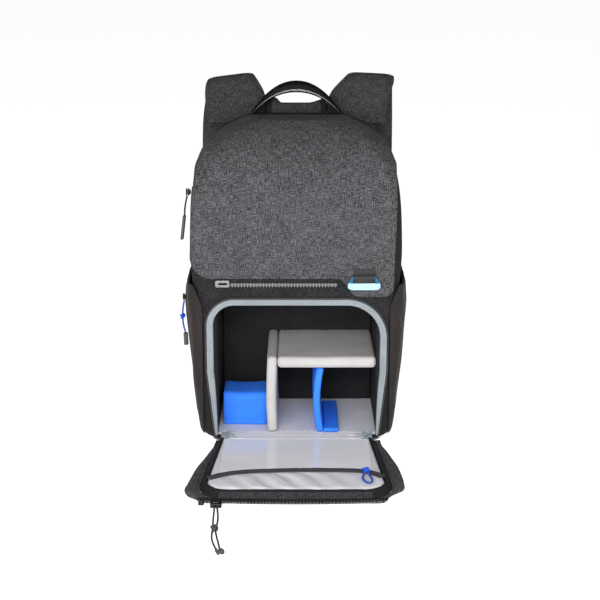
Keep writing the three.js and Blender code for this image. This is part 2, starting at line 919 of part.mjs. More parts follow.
function doorHingeLining() {
  const front = doorBack - hingeLiningReach;
  const rear = dividerFront - 2;
  const half = openingHalfWidth - insertWallInset - openingTaper + 1;
  const frontLow = padTop + clear;
  const shape = polygon([
    [front, frontLow], [doorBack + 1, frontLow], [rear, liningLow],
    [rear, liningLow + hingeLiningThickness], [doorBack + 1, frontLow + hingeLiningThickness],
    [front, frontLow + hingeLiningThickness],
  ]);
  return alongX(shape, openingCentre - half, openingCentre + half);
}

// along: share of doorLength. wide: share of doorPadHalfWidth.
const doorZipRows = [
  { wide: -0.985, along: 0.73 },
  { wide: -0.8, along: 0.667 },
  { wide: -0.64, along: 0.636 },
  { wide: -0.3, along: 0.613 },
  { wide: 0.05, along: 0.602 },
  { wide: 0.4, along: 0.603 },
  { wide: 0.74, along: 0.617 },
  { wide: 0.87, along: 0.648 },
  { wide: 0.985, along: 0.705 },
];

function doorZipCurve() {
  const points = doorZipRows.map((row) => new THREE.Vector3(
    row.wide * doorPadHalfWidth,
    doorBack - row.along * doorLength,
    0,
  ));
  return new THREE.CatmullRomCurve3(points, false, 'centripetal');
}

// The middle line's Y at an X, found by halving: the curve runs from left to right.
function zipYAt(x) {
  const curve = doorZipCurve();
  let low = 0;
  let high = 1;
  for (let i = 0; i < 24; i += 1) {
    const middle = (low + high) / 2;
    if (curve.getPoint(middle).x < x) low = middle;
    else high = middle;
  }
  return curve.getPoint(low).y;
}

function doorPocketZip() {
  const curve = doorZipCurve();
  const low = padTop + clear;
  return closedSheet(1, 24, (u, v, face) => {
    const point = curve.getPoint(v);
    return new THREE.Vector3(
      point.x,
      point.y + (u - 0.5) * doorZipWidth,
      low + (face ? doorZipThickness : 0),
    );
  });
}

function doorWindow() {
  const rear = doorBack - hingeLiningReach - clear;
  const low = padTop + clear;
  const reach = doorPadHalfWidth * windowReach;
  return closedSheet(12, 2, (u, v, face) => {
    const x = (u * 2 - 1) * reach;
    const front = zipYAt(x) + doorZipWidth / 2 + windowEdgeGap;
    return new THREE.Vector3(x, rear + (front - rear) * v, low + (face ? windowThickness : 0));
  });
}

const zipTop = padTop + clear + doorZipThickness;
const pocketSliderX = 86;

const pocketSliderY = zipYAt(pocketSliderX) + 1;
const pocketSliderLength = 7;

function doorPocketSlider() {
  const half = pocketSliderLength / 2;
  const shape = roundedBox(pocketSliderX - 4.5, pocketSliderX + 4.5, pocketSliderY - half, pocketSliderY + half, 3);
  return alongZ(shape, zipTop + clear, zipTop + clear + 3.4, 3);
}

const knotLength = 8.6;
const knotY = pocketSliderY - pocketSliderLength / 2 - clear - knotLength / 2;
const knotHeight = 7;
const knotZ = zipTop + clear + knotHeight / 2;

function knot(x, y, z, width, length, height) {
  const ball = new THREE.SphereGeometry(0.5, 9, 7);
  ball.scale(width, length, height);
  return outward(ball.translate(x, y, z));
}

function doorPocketKnot() {
  return knot(pocketSliderX, knotY, knotZ, 9.5, knotLength, knotHeight);
}

const loopHalfWidth = 5.4;
const loopHalfLength = 12.6;
const loopLean = 2.6;
const loopZ = padTop + loopCord / 2 + 0.2;

// The blue loop leaves the knot, runs once round on the pad and comes back to it.
function loopRoute() {
  const middleY = knotY - knotLength / 2 - clear - loopHalfLength * 0.93;
  const points = [];
  const steps = 16;
  for (let i = 0; i <= steps; i += 1) {
    const angle = Math.PI * (0.12 + (1.76 * i) / steps);
    const lift = Math.max(0, (Math.cos(angle) - 0.45) / 0.48) ** 2;
    points.push([
      pocketSliderX + (loopLean * (1 - Math.cos(angle))) / 2 - loopHalfWidth * Math.sin(angle),
      middleY + loopHalfLength * Math.cos(angle),
      loopZ + (knotZ - 0.9 - loopZ) * lift,
    ]);
  }
  return points;
}

function doorTipZip() {
  const shape = zipComb(tipZipLeft, tipZipRight, (x) => tipY(x) + 1, tipZipWidth, zipToothDepth);
  return alongZ(shape, doorSheet + clear, doorSheet + clear + zipThickness);
}

const sliderX = -94;
const tipTeethY = tipY(sliderX) + 1 - zipToothDepth;
const sliderDepth = 13;

function tipSliderLarge() {
  const shape = roundedBox(sliderX - 7, sliderX + 7, tipTeethY - clear - sliderDepth, tipTeethY - clear, 4);
  return alongZ(shape, 0.4, 7.6, 3);
}

function tipSliderSmall() {
  const teethY = tipY(sliderX - 18) + 1 - zipToothDepth;
  const shape = roundedBox(sliderX - 22, sliderX - 14, teethY - clear - 7, teethY - clear, 2);
  return alongZ(shape, 0.4, 5.4, 3);
}

// The doubled pull cord: two strands side by side on the floor, through a knot to an end knot.
// along: share of pullReach from the slider to the end knot. shift: share of pullShift to the right.
const pullRows = [
  { along: 0, shift: 0 },
  { along: 0.16, shift: 0.1 },
  { along: 0.31, shift: 0.155 },
  { along: 0.56, shift: 0.165 },
  { along: 0.69, shift: 0.29 },
  { along: 0.84, shift: 0.6 },
  { along: 1, shift: 1 },
];
const pullStart = tipTeethY - clear - sliderDepth - 0.8;
const middleKnotAlong = 0.505;
const middleKnotLength = 12.2;
const endKnotLength = 8;
const knotHeightLarge = 7;
const knotHeightEnd = 6.6;

function pullX(along) {
  return sliderX + 0.2 + pullShift * valueAt(pullRows, 'along', along, 'shift');
}

// A strand's route from one place along the pull to another. apart: half the strands' spacing at
// the start, middle and end. lift: how far the start and the end rise off the floor.
function strandRoute(from, to, sign, apart, lift) {
  const points = [];
  const steps = 10;
  for (let i = 0; i <= steps; i += 1) {
    const t = i / steps;
    const along = from + (to - from) * t;
    const spread = apart[0] + (apart[1] - apart[0]) * Math.sin(Math.PI * t) + (apart[2] - apart[0]) * t;
    const rise = lift[0] * Math.max(0, 1 - t / 0.35) ** 2 + lift[1] * Math.max(0, (t - 0.8) / 0.2) ** 2;
    points.push([pullX(along) + sign * spread, pullStart - pullReach * along, pullStrand / 2 + 0.1 + rise]);
  }
  return points;
}

const middleKnotHalf = (middleKnotLength / 2 + clear) / pullReach;
const endKnotHalf = (endKnotLength / 2 + 0.4) / pullReach;

function strandUpper(sign) {
  return strandRoute(0, middleKnotAlong - middleKnotHalf, sign, [1.5, 2.6, 1.5], [2, 1]);
}

function strandLower(sign) {
  return strandRoute(middleKnotAlong + middleKnotHalf, 1 - endKnotHalf, sign, [1.5, 3, 1.4], [1, 1]);
}

function pullKnot(along, width, length, height) {
  return knot(pullX(along), pullStart - pullReach * along, height / 2 + 0.1, width, length, height);
}

// Carry handle

// A crescent: its outer and inner curves meet at the handle's ends.
function carryHandle() {
  const steps = 18;
  const low = bagHeight - handleFoot;
  const high = bagHeight + handleRise;
  const inner = [];
  const outer = [];
  for (let i = 0; i <= steps; i += 1) {
    const share = (2 * i) / steps - 1;
    const rise = 1 - Math.abs(share) ** handleBend;
    outer.push([handleHalfSpan * share, low + (high - low) * rise]);
    if (i > 0 && i < steps) inner.push([handleHalfSpan * share, low + (high - low - handleThickness) * rise]);
  }
  const shape = polygon([...inner, ...outer.reverse()]);
  const rear = rearY - handleRearGap;
  return cutFrom(alongY(shape, rear - handleDepth, rear), bagForm(clear));
}

// Shoulder straps

// out: share of strapStandoff behind the back panel. rise, drop: shares of strapRise and strapDrop
// from its shoulder. toCrest, toHang: share of the way across from the root to the crest, then on
// to the hanging stretch. wide: 0 strap, 1 root width.
const strapRows = [
  { out: -0.184, rise: 0, drop: 0, toCrest: 0, toHang: 0, wide: 1 },
  { out: -0.168, rise: 0.19, drop: 0, toCrest: 0.02, toHang: 0, wide: 1.04 },
  { out: -0.132, rise: 0.45, drop: 0, toCrest: 0.06, toHang: 0, wide: 1.114 },
  { out: -0.04, rise: 0.704, drop: 0, toCrest: 0.34, toHang: 0, wide: 0.97 },
  { out: 0.105, rise: 0.9, drop: 0, toCrest: 0.74, toHang: 0, wide: 0.58 },
  { out: 0.368, rise: 1, drop: 0, toCrest: 1, toHang: 0, wide: 0.17 },
  { out: 0.684, rise: 0.848, drop: 0, toCrest: 1, toHang: 0.2, wide: 0 },
  { out: 0.868, rise: 0.528, drop: 0, toCrest: 1, toHang: 0.5, wide: 0 },
  { out: 0.974, rise: 0, drop: 0, toCrest: 1, toHang: 0.85, wide: 0.02 },
  { out: 1, rise: 0, drop: 0.208, toCrest: 1, toHang: 1, wide: 0.03 },
  { out: 0.947, rise: 0, drop: 0.451, toCrest: 1, toHang: 0.95, wide: 0 },
  { out: 0.816, rise: 0, drop: 0.694, toCrest: 1, toHang: 0.8, wide: -0.15 },
  { out: 0.632, rise: 0, drop: 0.91, toCrest: 1, toHang: 0.6, wide: -0.4 },
  { out: 0.5, rise: 0, drop: 1, toCrest: 1, toHang: 0.5, wide: -0.75 },
];

const backFace = rearY + clear + backThickness;

function strapPath(side) {
  const crest = side < 0 ? strapCrestLeft : strapCrestRight;
  const hang = side < 0 ? strapHangLeft : strapHangRight;
  const root = side * (backNotch + clear + strapRootWidth / 2);
  const at = (row) => new THREE.Vector3(
    root + (crest - root) * row.toCrest + (hang - crest) * row.toHang,
    backFace + row.out * strapStandoff,
    backShoulder + clear + row.rise * strapRise - row.drop * strapDrop,
  );
  const curve = new THREE.CatmullRomCurve3(strapRows.map(at), false, 'centripetal');
  const width = (v) => {
    const place = v * (strapRows.length - 1);
    const k = Math.min(strapRows.length - 2, Math.floor(place));
    const share = strapRows[k].wide + (strapRows[k + 1].wide - strapRows[k].wide) * (place - k);
    return strapWidth + (strapRootWidth - strapWidth) * share;
  };
  return { curve, width };
}

function shoulderStrap(side) {
  const { curve, width } = strapPath(side);
  const steps = (strapRows.length - 1) * 2;
  const tilt = side < 0 ? strapTiltLeft : strapTiltRight;
  const slab = closedSheet(6, steps, (u, v, face) => {
    const point = curve.getPoint(v);
    const along = curve.getTangent(v);
    const normal = new THREE.Vector3(0, -along.z, along.y).normalize();
    const share = u * 2 - 1;
    const swell = 0.45 + 0.55 * Math.sqrt(Math.max(0, 1 - share ** 4));
    const offset = (strapThickness / 2) * swell * (face ? 1 : -1);
    const risen = Math.max(0, point.z - backShoulder) / strapRise;
    const drop = tilt * risen * (share * side + 1) * 0.5;
    return new THREE.Vector3(point.x + (share * width(v)) / 2, point.y, point.z - drop)
      .addScaledVector(normal, offset);
  });
  const keepOut = boxBetween(-bagWidth, bagWidth, 0, backFace + clear, 0, backShoulder + clear);
  const tongueHalf = backNotch + clear;
  const tongueTop = backTop + tongueRise + clear;
  const tongue = boxBetween(-tongueHalf, tongueHalf, rearY, backFace + clear, 0, tongueTop);
  return cutFrom(slab, keepOut, tongue);
}

function strapEnd(side) {
  const { curve } = strapPath(side);
  return curve.getPoint(1);
}

function strapBuckle(side) {
  const end = strapEnd(side);
  const high = end.z - buckleGap;
  const frame = roundedBox(end.x - buckleWidth / 2, end.x + buckleWidth / 2, high - buckleHeight, high, 5);
  return alongY(frame, end.y - buckleThickness / 2, end.y + buckleThickness / 2, 3);
}

function strapAnchor(side) {
  const middle = side * (backHalfWidth - anchorInset);
  const high = anchorLow + anchorHeight;
  const shape = polygon([
    [middle - anchorWidth / 2, anchorLow], [middle + anchorWidth / 2, anchorLow],
    [middle + webbingWidth / 2, high], [middle - webbingWidth / 2, high],
  ]);
  return alongY(shape, backFace + clear, backFace + clear + anchorThickness);
}

function strapWebbing(side) {
  const end = strapEnd(side);
  const middle = side * (backHalfWidth - anchorInset);
  const low = anchorLow + anchorHeight * 0.3;
  const top = end.z - buckleGap - buckleHeight - clear;
  const near = backFace + 2 * clear + anchorThickness + webbingThickness;
  const start = new THREE.Vector3(middle, near, low);
  const stop = new THREE.Vector3(end.x, end.y, top);
  const mid = new THREE.Vector3(middle, near + 2, low + (top - low) * 0.55);
  const curve = new THREE.QuadraticBezierCurve3(start, mid, stop);
  return closedSheet(1, 8, (u, v, face) => {
    const point = curve.getPoint(v);
    return new THREE.Vector3(
      point.x + (u - 0.5) * webbingWidth,
      point.y + (face ? webbingThickness / 2 : -webbingThickness / 2),
      point.z,
    );
  });
}

// Zips and pulls on the left side

const sideZipLow = 225;
const sideZipHigh = 336;
const sideZipWidth = 14;
const sideSliderZ = 329;
const sideSliderStand = 6.4;
const sidePullY = -45;
const sideGripTop = 298;
const sideGripLength = 32;
const sideGripOut = 9;
const sideGripLean = 4;
const sliderHalf = 4;
const sliderHalfHeight = 5;

function sideX(z) {
  return (-valueAt(bagRows, 'up', z / bagHeight, 'wide') * bagWidth) / 2;
}

function sideZip() {
  return closedSheet(1, 8, (u, v, face) => {
    const z = sideZipLow + (sideZipHigh - sideZipLow) * v;
    const x = sideX(z) - clear - (face ? zipThickness : 0);
    return new THREE.Vector3(x, sidePullY + (u - 0.5) * sideZipWidth, z);
  });
}

const sideSliderNear = sideX(sideSliderZ - sliderHalfHeight) - 2 * clear - zipThickness;
const sideGripX = sideSliderNear - sideGripOut;

function sliderBox(near, stand, y, z) {
  return boxBetween(near - stand, near, y - sliderHalf, y + sliderHalf, z - sliderHalfHeight, z + sliderHalfHeight);
}

function sideSlider() {
  return sliderBox(sideSliderNear, sideSliderStand, sidePullY, sideSliderZ);
}

// A cord that hangs from one place to another and bows sideways on its way.
function hangingRoute(from, to, bow) {
  const points = [];
  const steps = 8;
  for (let i = 0; i <= steps; i += 1) {
    const t = i / steps;
    const x = from[0] + (to[0] - from[0]) * t + bow * Math.sin(Math.PI * t);
    points.push([x, from[1] + (to[1] - from[1]) * t, from[2] + (to[2] - from[2]) * t]);
  }
  return points;
}

// A moulded grip hanging from its top: widths at the top and bottom, leaning outwards.
function grip(x, y, top, length, lean, width, halfDepth) {
  const shape = polygon([
    [x + width / 2, top], [x - width / 2, top],
    [x - lean - width / 2, top - length], [x - lean + width / 2, top - length - 0.6],
  ]);
  return alongY(shape, y - halfDepth, y + halfDepth);
}

function sideCordRoute() {
  const start = [sideSliderNear - sideSliderStand + 1.4, sidePullY, sideSliderZ - sliderHalfHeight - 0.4];
  return hangingRoute(start, [sideGripX, sidePullY, sideGripTop + 0.4], -0.8);
}

function sideGrip() {
  return grip(sideGripX, sidePullY, sideGripTop, sideGripLength, sideGripLean, 4.4, 4);
}

// The pocket's pull hangs a little in front of the pocket's fullest place.
const pocketPullY = -40;
const pocketPullShare = 0.91;
const pocketSliderZ = 187;
const pocketSliderStand = 3.6;
const pocketKnotOut = 4.4;
const pocketKnotZ = 160;
const pocketKnotSize = 8.2;
const pocketGripTop = 137;
const pocketGripLength = 17;
const pocketGripOut = 1;

function pocketOuterX(z) {
  const up = (z - pocketBottom) / (pocketHeight - pocketBottom);
  const bulge = pocketBulge * valueAt(pocketRows, 'up', up, 'out') * pocketPullShare;
  return sideX(z) - clear - pocketCloth - bulge;
}

const pocketSliderNear = pocketOuterX(pocketSliderZ) - clear - 0.1;
const pocketKnotX = pocketSliderNear - pocketKnotOut;
const pocketGripX = pocketSliderNear - pocketGripOut;

function pocketSlider() {
  return sliderBox(pocketSliderNear, pocketSliderStand, pocketPullY, pocketSliderZ);
}

function pocketUpperRoute() {
  const start = [pocketSliderNear - pocketSliderStand / 2, pocketPullY, pocketSliderZ - sliderHalfHeight - 0.4];
  return hangingRoute(start, [pocketKnotX, pocketPullY, pocketKnotZ + pocketKnotSize / 2 + 0.4], -0.5);
}

function pocketLowerRoute() {
  const start = [pocketKnotX, pocketPullY, pocketKnotZ - pocketKnotSize / 2 - 0.4];
  return hangingRoute(start, [pocketGripX, pocketPullY, pocketGripTop + 0.4], -1);
}

function pocketKnot() {
  return knot(pocketKnotX, pocketPullY, pocketKnotZ, 8, 8, pocketKnotSize);
}

function pocketGrip() {
  return grip(pocketGripX, pocketPullY, pocketGripTop, pocketGripLength, -0.6, 6, 3.5);
}

// Assembly

const pack = new THREE.Group();

function add(name, geometry, finish) {
  const mesh = new THREE.Mesh(geometry, finish);
  mesh.name = name;
  pack.add(mesh);
}

function addBody() {
  add('bag_shell', bagShell(), material(colours.shellBlack, 0.85));
  add('base_panel', basePanel(), material(colours.shellBlack, 0.85));
  add('back_panel', backPanel(), material(colours.heather, 0.9));
  add('side_pocket_left', sidePocket(-1), material(colours.pocket, 0.8));
  add('side_pocket_right', sidePocket(1), material(colours.pocket, 0.8));
}

function addFlap() {
  add('flap', flap(), material(colours.heather, 0.95));
  add('front_zip', frontZip(), material(colours.tape, 0.6));
  add('front_zip_end', frontZipEnd(), material(colours.metal, 0.3, 1));
  add('hook_bar', hookBar(), material(colours.anodised, 0.25, 0.8));
  add('hook_webbing', hookWebbing(), material(colours.tape, 0.8));
}

function addCompartment() {
  add('opening_rim', openingRim(), material(colours.rim, 0.85));
  add('opening_tape', openingTape(), material(colours.tape, 0.8));
  add('insert_floor', insertFloor(), material(colours.lining, 0.85));
  add('insert_roof', insertRoof(), material(colours.darkLining, 0.9));
  add('insert_side_left', insertSide(-1), material(colours.darkLining, 0.9));
  add('insert_side_right', insertSide(1), material(colours.darkLining, 0.9));
  add('insert_back', insertBack(), material(colours.darkLining, 0.9));
  add('divider_upright', dividerUpright(), material(colours.lining, 0.85));
  add('divider_shelf', dividerShelf(), material(colours.lining, 0.85));
  add('divider_blue_upright', dividerBlueUpright(), material(colours.blue, 0.8));
  add('divider_blue_fold', dividerBlueFold(), material(colours.blue, 0.8));
}

function addDoor() {
  add('door_outer', doorOuter(), material(colours.heather, 0.9));
  add('door_pad', doorPad(), material(colours.lining, 0.85));
  add('door_tape', doorTape(), material(colours.tape, 0.8));
  add('door_hinge_lining', doorHingeLining(), material(colours.lining, 0.85));
  add('door_window', doorWindow(), material(colours.window, 0.15));
  add('door_pocket_zip', doorPocketZip(), material(colours.tape, 0.7));
  add('door_pocket_slider', doorPocketSlider(), material(colours.gloss, 0.4, 0.6));
  add('door_pocket_knot', doorPocketKnot(), material(colours.blue, 0.7));
  add('door_pocket_loop', tube(loopRoute(), loopCord), material(colours.blue, 0.7));
  add('door_tip_zip', doorTipZip(), material(colours.tape, 0.6));
  add('tip_slider_large', tipSliderLarge(), material(colours.gloss, 0.4, 0.6));
  add('tip_slider_small', tipSliderSmall(), material(colours.gloss, 0.4, 0.6));
}

function addPullCord() {
  const finish = () => material('#3a3a34', 0.8);
  for (const [sign, name] of [[-1, 'a'], [1, 'b']]) {
    add(`pull_cord_${name}_upper`, tube(strandUpper(sign), pullStrand), finish());
    add(`pull_cord_${name}_lower`, tube(strandLower(sign), pullStrand), finish());
  }
  add('pull_knot_middle', pullKnot(middleKnotAlong, 9.5, middleKnotLength, knotHeightLarge), finish());
  add('pull_knot_end', pullKnot(1, 11, endKnotLength, knotHeightEnd), finish());
}

function addCarry() {
  add('carry_handle', carryHandle(), material(colours.gloss, 0.3));
  for (const [side, name] of [[-1, 'left'], [1, 'right']]) {
    add(`shoulder_strap_${name}`, shoulderStrap(side), material(colours.heather, 0.9));
    add(`strap_buckle_${name}`, strapBuckle(side), material(colours.gloss, 0.5));
    add(`strap_anchor_${name}`, strapAnchor(side), material(colours.tape, 0.8));
    add(`strap_webbing_${name}`, strapWebbing(side), material(colours.tape, 0.8));
  }
}

function addSidePulls() {
  add('side_zip', sideZip(), material(colours.tape, 0.7));
  add('side_slider', sideSlider(), material(colours.gloss, 0.4, 0.6));
  add('side_cord', tube(sideCordRoute(), sideCord), material(colours.tape, 0.8));
  add('side_grip', sideGrip(), material(colours.rubber, 0.6));
  add('pocket_slider', pocketSlider(), material(colours.gloss, 0.4, 0.6));
  add('pocket_cord_upper', tube(pocketUpperRoute(), sideCord), material(colours.tape, 0.8));
  add('pocket_cord_lower', tube(pocketLowerRoute(), sideCord), material(colours.blue, 0.8));
  add('pocket_knot', pocketKnot(), material(colours.blue, 0.7));
  add('pocket_grip', pocketGrip(), material(colours.rubber, 0.6));
}

addBody();
addFlap();
addCompartment();
addDoor();
addPullCord();
addCarry();
addSidePulls();

export default pack;
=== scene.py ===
"""Looks of a camera backpack that stands open, its door folded down onto the floor.

Helpers work in millimetres in the part's own frame; meshes are stored in metres.
"""

import math
import random

import bpy
from mathutils import Matrix, Vector, noise
from mathutils.bvhtree import BVHTree
from mathutils.geometry import delaunay_2d_cdt
from mathutils.kdtree import KDTree


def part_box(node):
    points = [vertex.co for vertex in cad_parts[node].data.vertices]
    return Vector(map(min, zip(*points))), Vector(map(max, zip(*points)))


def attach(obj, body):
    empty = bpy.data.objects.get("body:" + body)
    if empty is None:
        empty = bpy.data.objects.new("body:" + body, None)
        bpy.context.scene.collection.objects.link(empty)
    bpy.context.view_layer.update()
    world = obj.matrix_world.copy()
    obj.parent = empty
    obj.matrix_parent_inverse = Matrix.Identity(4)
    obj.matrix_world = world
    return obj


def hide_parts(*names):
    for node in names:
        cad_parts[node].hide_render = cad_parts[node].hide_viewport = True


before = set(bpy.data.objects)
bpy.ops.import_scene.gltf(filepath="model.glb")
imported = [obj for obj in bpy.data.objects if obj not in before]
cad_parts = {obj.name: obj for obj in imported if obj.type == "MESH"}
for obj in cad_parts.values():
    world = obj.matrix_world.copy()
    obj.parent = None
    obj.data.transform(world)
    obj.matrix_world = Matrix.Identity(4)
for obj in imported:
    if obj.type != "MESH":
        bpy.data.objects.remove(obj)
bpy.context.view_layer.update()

MM = 0.001
UV_MM = 0.01
BODY = "root"

# The bag's sizes, as in the part
BAG_WIDTH = 276
BAG_HEIGHT = 414
BAG_DEPTH = 190
FRONT = -BAG_DEPTH / 2
REAR = BAG_DEPTH / 2
CLOTH = 2.4
CLEAR = 0.3
CORNER = 17
REAR_CORNER = 14
BACK_FACE = REAR + CLEAR + 13.5
DOOR_BACK = FRONT - 3.6
DOOR_LENGTH = 192
DOOR_TIP = DOOR_BACK - DOOR_LENGTH
FLOOR_TOP = 12.3
OPENING_CENTRE = 0.7
OPENING_HALF = 117
WING_HALF = 132
PAD_HALF = 108
PAD_REACH = 172

# Rows of the bag's plan, floor to top: share of the height, share of the half width, share of the
# depth that the front lies back, share of the corner radius, how far the wall faces up
BAG_ROWS = [
    (0.0097, 0.86, 0.03, 1.5, 0),
    (0.03, 0.898, 0.006, 1.1, 0),
    (0.075, 0.912, 0, 0.8, 0),
    (0.2, 0.928, 0, 0.75, 0),
    (0.36, 0.952, 0, 0.75, 0),
    (0.5, 0.97, 0, 0.8, 0),
    (0.6, 0.993, 0, 1, 0),
    (0.68, 0.99, 0.002, 1.05, 0),
    (0.745, 0.982, 0.012, 1.1, 0.02),
    (0.8, 0.968, 0.035, 1.2, 0.06),
    (0.85, 0.946, 0.075, 1.3, 0.15),
    (0.895, 0.909, 0.135, 1.5, 0.3),
    (0.93, 0.853, 0.205, 1.8, 0.5),
    (0.955, 0.77, 0.275, 2, 0.7),
    (0.98, 0.63, 0.37, 2.2, 0.9),
    (1, 0.47, 0.48, 2.4, 1),
]


# Camera, lights and floor


def make_camera():
    data = bpy.data.cameras.new("photo_camera")
    data.lens = 77.6
    data.sensor_width = 36
    data.clip_end = 100
    camera = bpy.data.objects.new("photo_camera", data)
    camera.location = (0.005, -1.7, 0.64)
    camera.rotation_euler = (math.radians(90 - 15.42), 0, 0)
    bpy.context.collection.objects.link(camera)
    bpy.context.scene.camera = camera


def area_light(name, place, target, size, energy):
    data = bpy.data.lights.new(name, "AREA")
    data.shape = "RECTANGLE"
    data.size, data.size_y = size
    data.energy = energy
    light = bpy.data.objects.new(name, data)
    light.location = place
    aim = Vector(target) - Vector(place)
    light.rotation_euler = aim.to_track_quat("-Z", "Y").to_euler()
    bpy.context.collection.objects.link(light)


def make_stage():
    scene = bpy.context.scene
    scene.view_settings.view_transform = "Standard"
    world = bpy.data.worlds.new("studio")
    world.use_nodes = True
    sky = world.node_tree.nodes["Background"]
    sky.inputs["Color"].default_value = (1, 1, 1, 1)
    sky.inputs["Strength"].default_value = 0.25
    scene.world = world
    area_light("key", (-0.9, -2.3, 0.8), (0, 0, 0.22), (1.6, 1.0), 41)
    area_light("fill", (1.6, -1.7, 0.8), (0, 0, 0.2), (1.2, 1.2), 12)
    area_light("into_bays", (0.05, -1.85, 1.05), (0, -0.1, 0.08), (0.9, 0.5), 17)
    area_light("low_front", (0.1, -2.2, 0.35), (0, 0, 0.12), (1.4, 0.5), 7)
    size = 30
    mesh = bpy.data.meshes.new("floor")
    corners = [(-size, -size, 0), (size, -size, 0), (size, size, 0), (-size, size, 0)]
    mesh.from_pydata(corners, [], [(0, 1, 2, 3)])
    floor = bpy.data.objects.new("floor", mesh)
    floor.location.z = -0.0003
    bpy.context.collection.objects.link(floor)
    paint = Paint("floor_paint", rough=0.9, colour=(0.9, 0.9, 0.9))
    paint.set("Emission Color", (1, 1, 1, 1))
    paint.set("Emission Strength", 0.75)
    mesh.materials.append(paint.material)


# Materials


class Paint:
    """One material: the Principled shader and the nodes that feed it."""

    def __init__(self, name, colour=(0.5, 0.5, 0.5), rough=0.6, metal=0.0, **values):
        self.material = bpy.data.materials.new(name)
        self.material.use_nodes = True
        self.tree = self.material.node_tree
        self.shader = self.tree.nodes["Principled BSDF"]
        self.set("Base Color", (*colour, 1))
        self.set("Roughness", rough)
        self.set("Metallic", metal)
        for key, value in values.items():
            self.set(key.replace("_", " "), value)

    def set(self, socket, value):
        self.shader.inputs[socket].default_value = value

    def node(self, kind, inputs=(), **settings):
        made = self.tree.nodes.new(kind)
        for key, value in settings.items():
            setattr(made, key, value)
        for key, value in dict(inputs).items():
            if isinstance(value, bpy.types.NodeSocket):
                self.tree.links.new(value, made.inputs[key])
            else:
                made.inputs[key].default_value = value
        return made

    def link(self, out, socket):
        self.tree.links.new(out, self.shader.inputs[socket])

    def weave_vector(self, run_x, run_y, shift=0.0):
        """Weave coordinates, so that one noise cell is run_x by run_y millimetres."""
        uv = self.node("ShaderNodeUVMap", uv_map="weave")
        scale = (1 / (run_x * UV_MM), 1 / (run_y * UV_MM), 1)
        made = self.node(
            "ShaderNodeMapping",
            {"Vector": uv.outputs[0], "Scale": scale, "Location": (shift, shift * 1.7, 0)},
        )
        return made.outputs[0]

    def noise(self, vector, detail=1.0):
        made = self.node(
            "ShaderNodeTexNoise",
            {"Vector": vector, "Scale": 1.0, "Detail": detail, "Roughness": 0.55},
            noise_dimensions="2D",
        )
        return made.outputs[0]

    def maths(self, operation, a, b=0.0, c=0.0):
        made = self.node("ShaderNodeMath", {0: a, 1: b, 2: c}, operation=operation)
        return made.outputs[0]

    def between(self, value, low, high):
        made = self.node(
            "ShaderNodeMapRange",
            {0: value, 1: low, 2: high, 3: 0.0, 4: 1.0},
        )
        return made.outputs[0]

    def mix(self, factor, a, b):
        made = self.node("ShaderNodeMix", data_type="RGBA")
        for index, value in ((0, factor), (6, a), (7, b)):
            if isinstance(value, bpy.types.NodeSocket):
                self.tree.links.new(value, made.inputs[index])
            else:
                made.inputs[index].default_value = value if index == 0 else (*value, 1)
        return made.outputs[2]

    def bump(self, height, strength, distance):
        made = self.node(
            "ShaderNodeBump",
            {"Height": height, "Strength": strength, "Distance": distance},
        )
        self.link(made.outputs[0], "Normal")


def heather(name, dark, light, thread, run):
    """Two-tone woven cloth: light flecks, thread by run millimetres, along both thread directions."""
    paint = Paint(name, rough=0.95, Specular_IOR_Level=0.12)
    weft = paint.noise(paint.weave_vector(run, thread))
    warp = paint.noise(paint.weave_vector(thread, run, 3.1))
    fine = paint.noise(paint.weave_vector(1.1, 1.1, 5.7))
    cloud = paint.noise(paint.weave_vector(26, 20, 1.3))
    both = paint.maths("MAXIMUM", weft, warp)
    mean = paint.maths("MULTIPLY_ADD", both, 0.62, paint.maths("MULTIPLY", fine, 0.38))
    drift = paint.maths("MULTIPLY_ADD", cloud, 0.07, paint.maths("SUBTRACT", mean, 0.035))
    fleck = paint.between(drift, 0.47, 0.66)
    paint.link(paint.mix(fleck, dark, light), "Base Color")
    paint.bump(mean, 0.5, 0.0009)
    return paint.material


def plain_cloth(name, colour, shade=0.7, rough=0.85, bump=0.25, **values):
    """Plain woven cloth: a fine grain and slow changes of tone. shade: the darker tone's share."""
    paint = Paint(name, rough=rough, **{"Specular_IOR_Level": 0.2, **values})
    grain, cloud = 1.2, 30
    weft = paint.noise(paint.weave_vector(grain * 2.2, grain))
    warp = paint.noise(paint.weave_vector(grain, grain * 2.2, 2.3))
    slow = paint.noise(paint.weave_vector(cloud, cloud * 0.8, 4.1), detail=3)
    mean = paint.maths("MULTIPLY_ADD", weft, 0.5, paint.maths("MULTIPLY", warp, 0.5))
    tone = paint.between(paint.maths("MULTIPLY_ADD", slow, 0.6, mean), 0.6, 1.0)
    darker = tuple(c * shade for c in colour)
    paint.link(paint.mix(tone, darker, colour), "Base Color")
    paint.bump(mean, bump, 0.0005)
    return paint.material


def ribbed(name, colour, pitch=1.6, rough=0.7):
    """Webbing, braid or coil: ribs across its length."""
    paint = Paint(name, rough=rough, Specular_IOR_Level=0.4)
    uv = paint.node("ShaderNodeUVMap", uv_map="weave")
    wave = paint.node(
        "ShaderNodeTexWave",
        {"Vector": uv.outputs[0], "Scale": 1 / (pitch * UV_MM) / (2 * math.pi) * 2, "Distortion": 0.6},
        bands_direction="X",
    )
    height = wave.outputs["Fac"]
    # The grooves between the ribs are painted at 0.45 of the colour, following the bump: painted shade in
    # the grooves.
    paint.link(paint.mix(height, tuple(c * 0.45 for c in colour), colour), "Base Color")
    paint.bump(height, 0.6, 0.0006)
    return paint.material


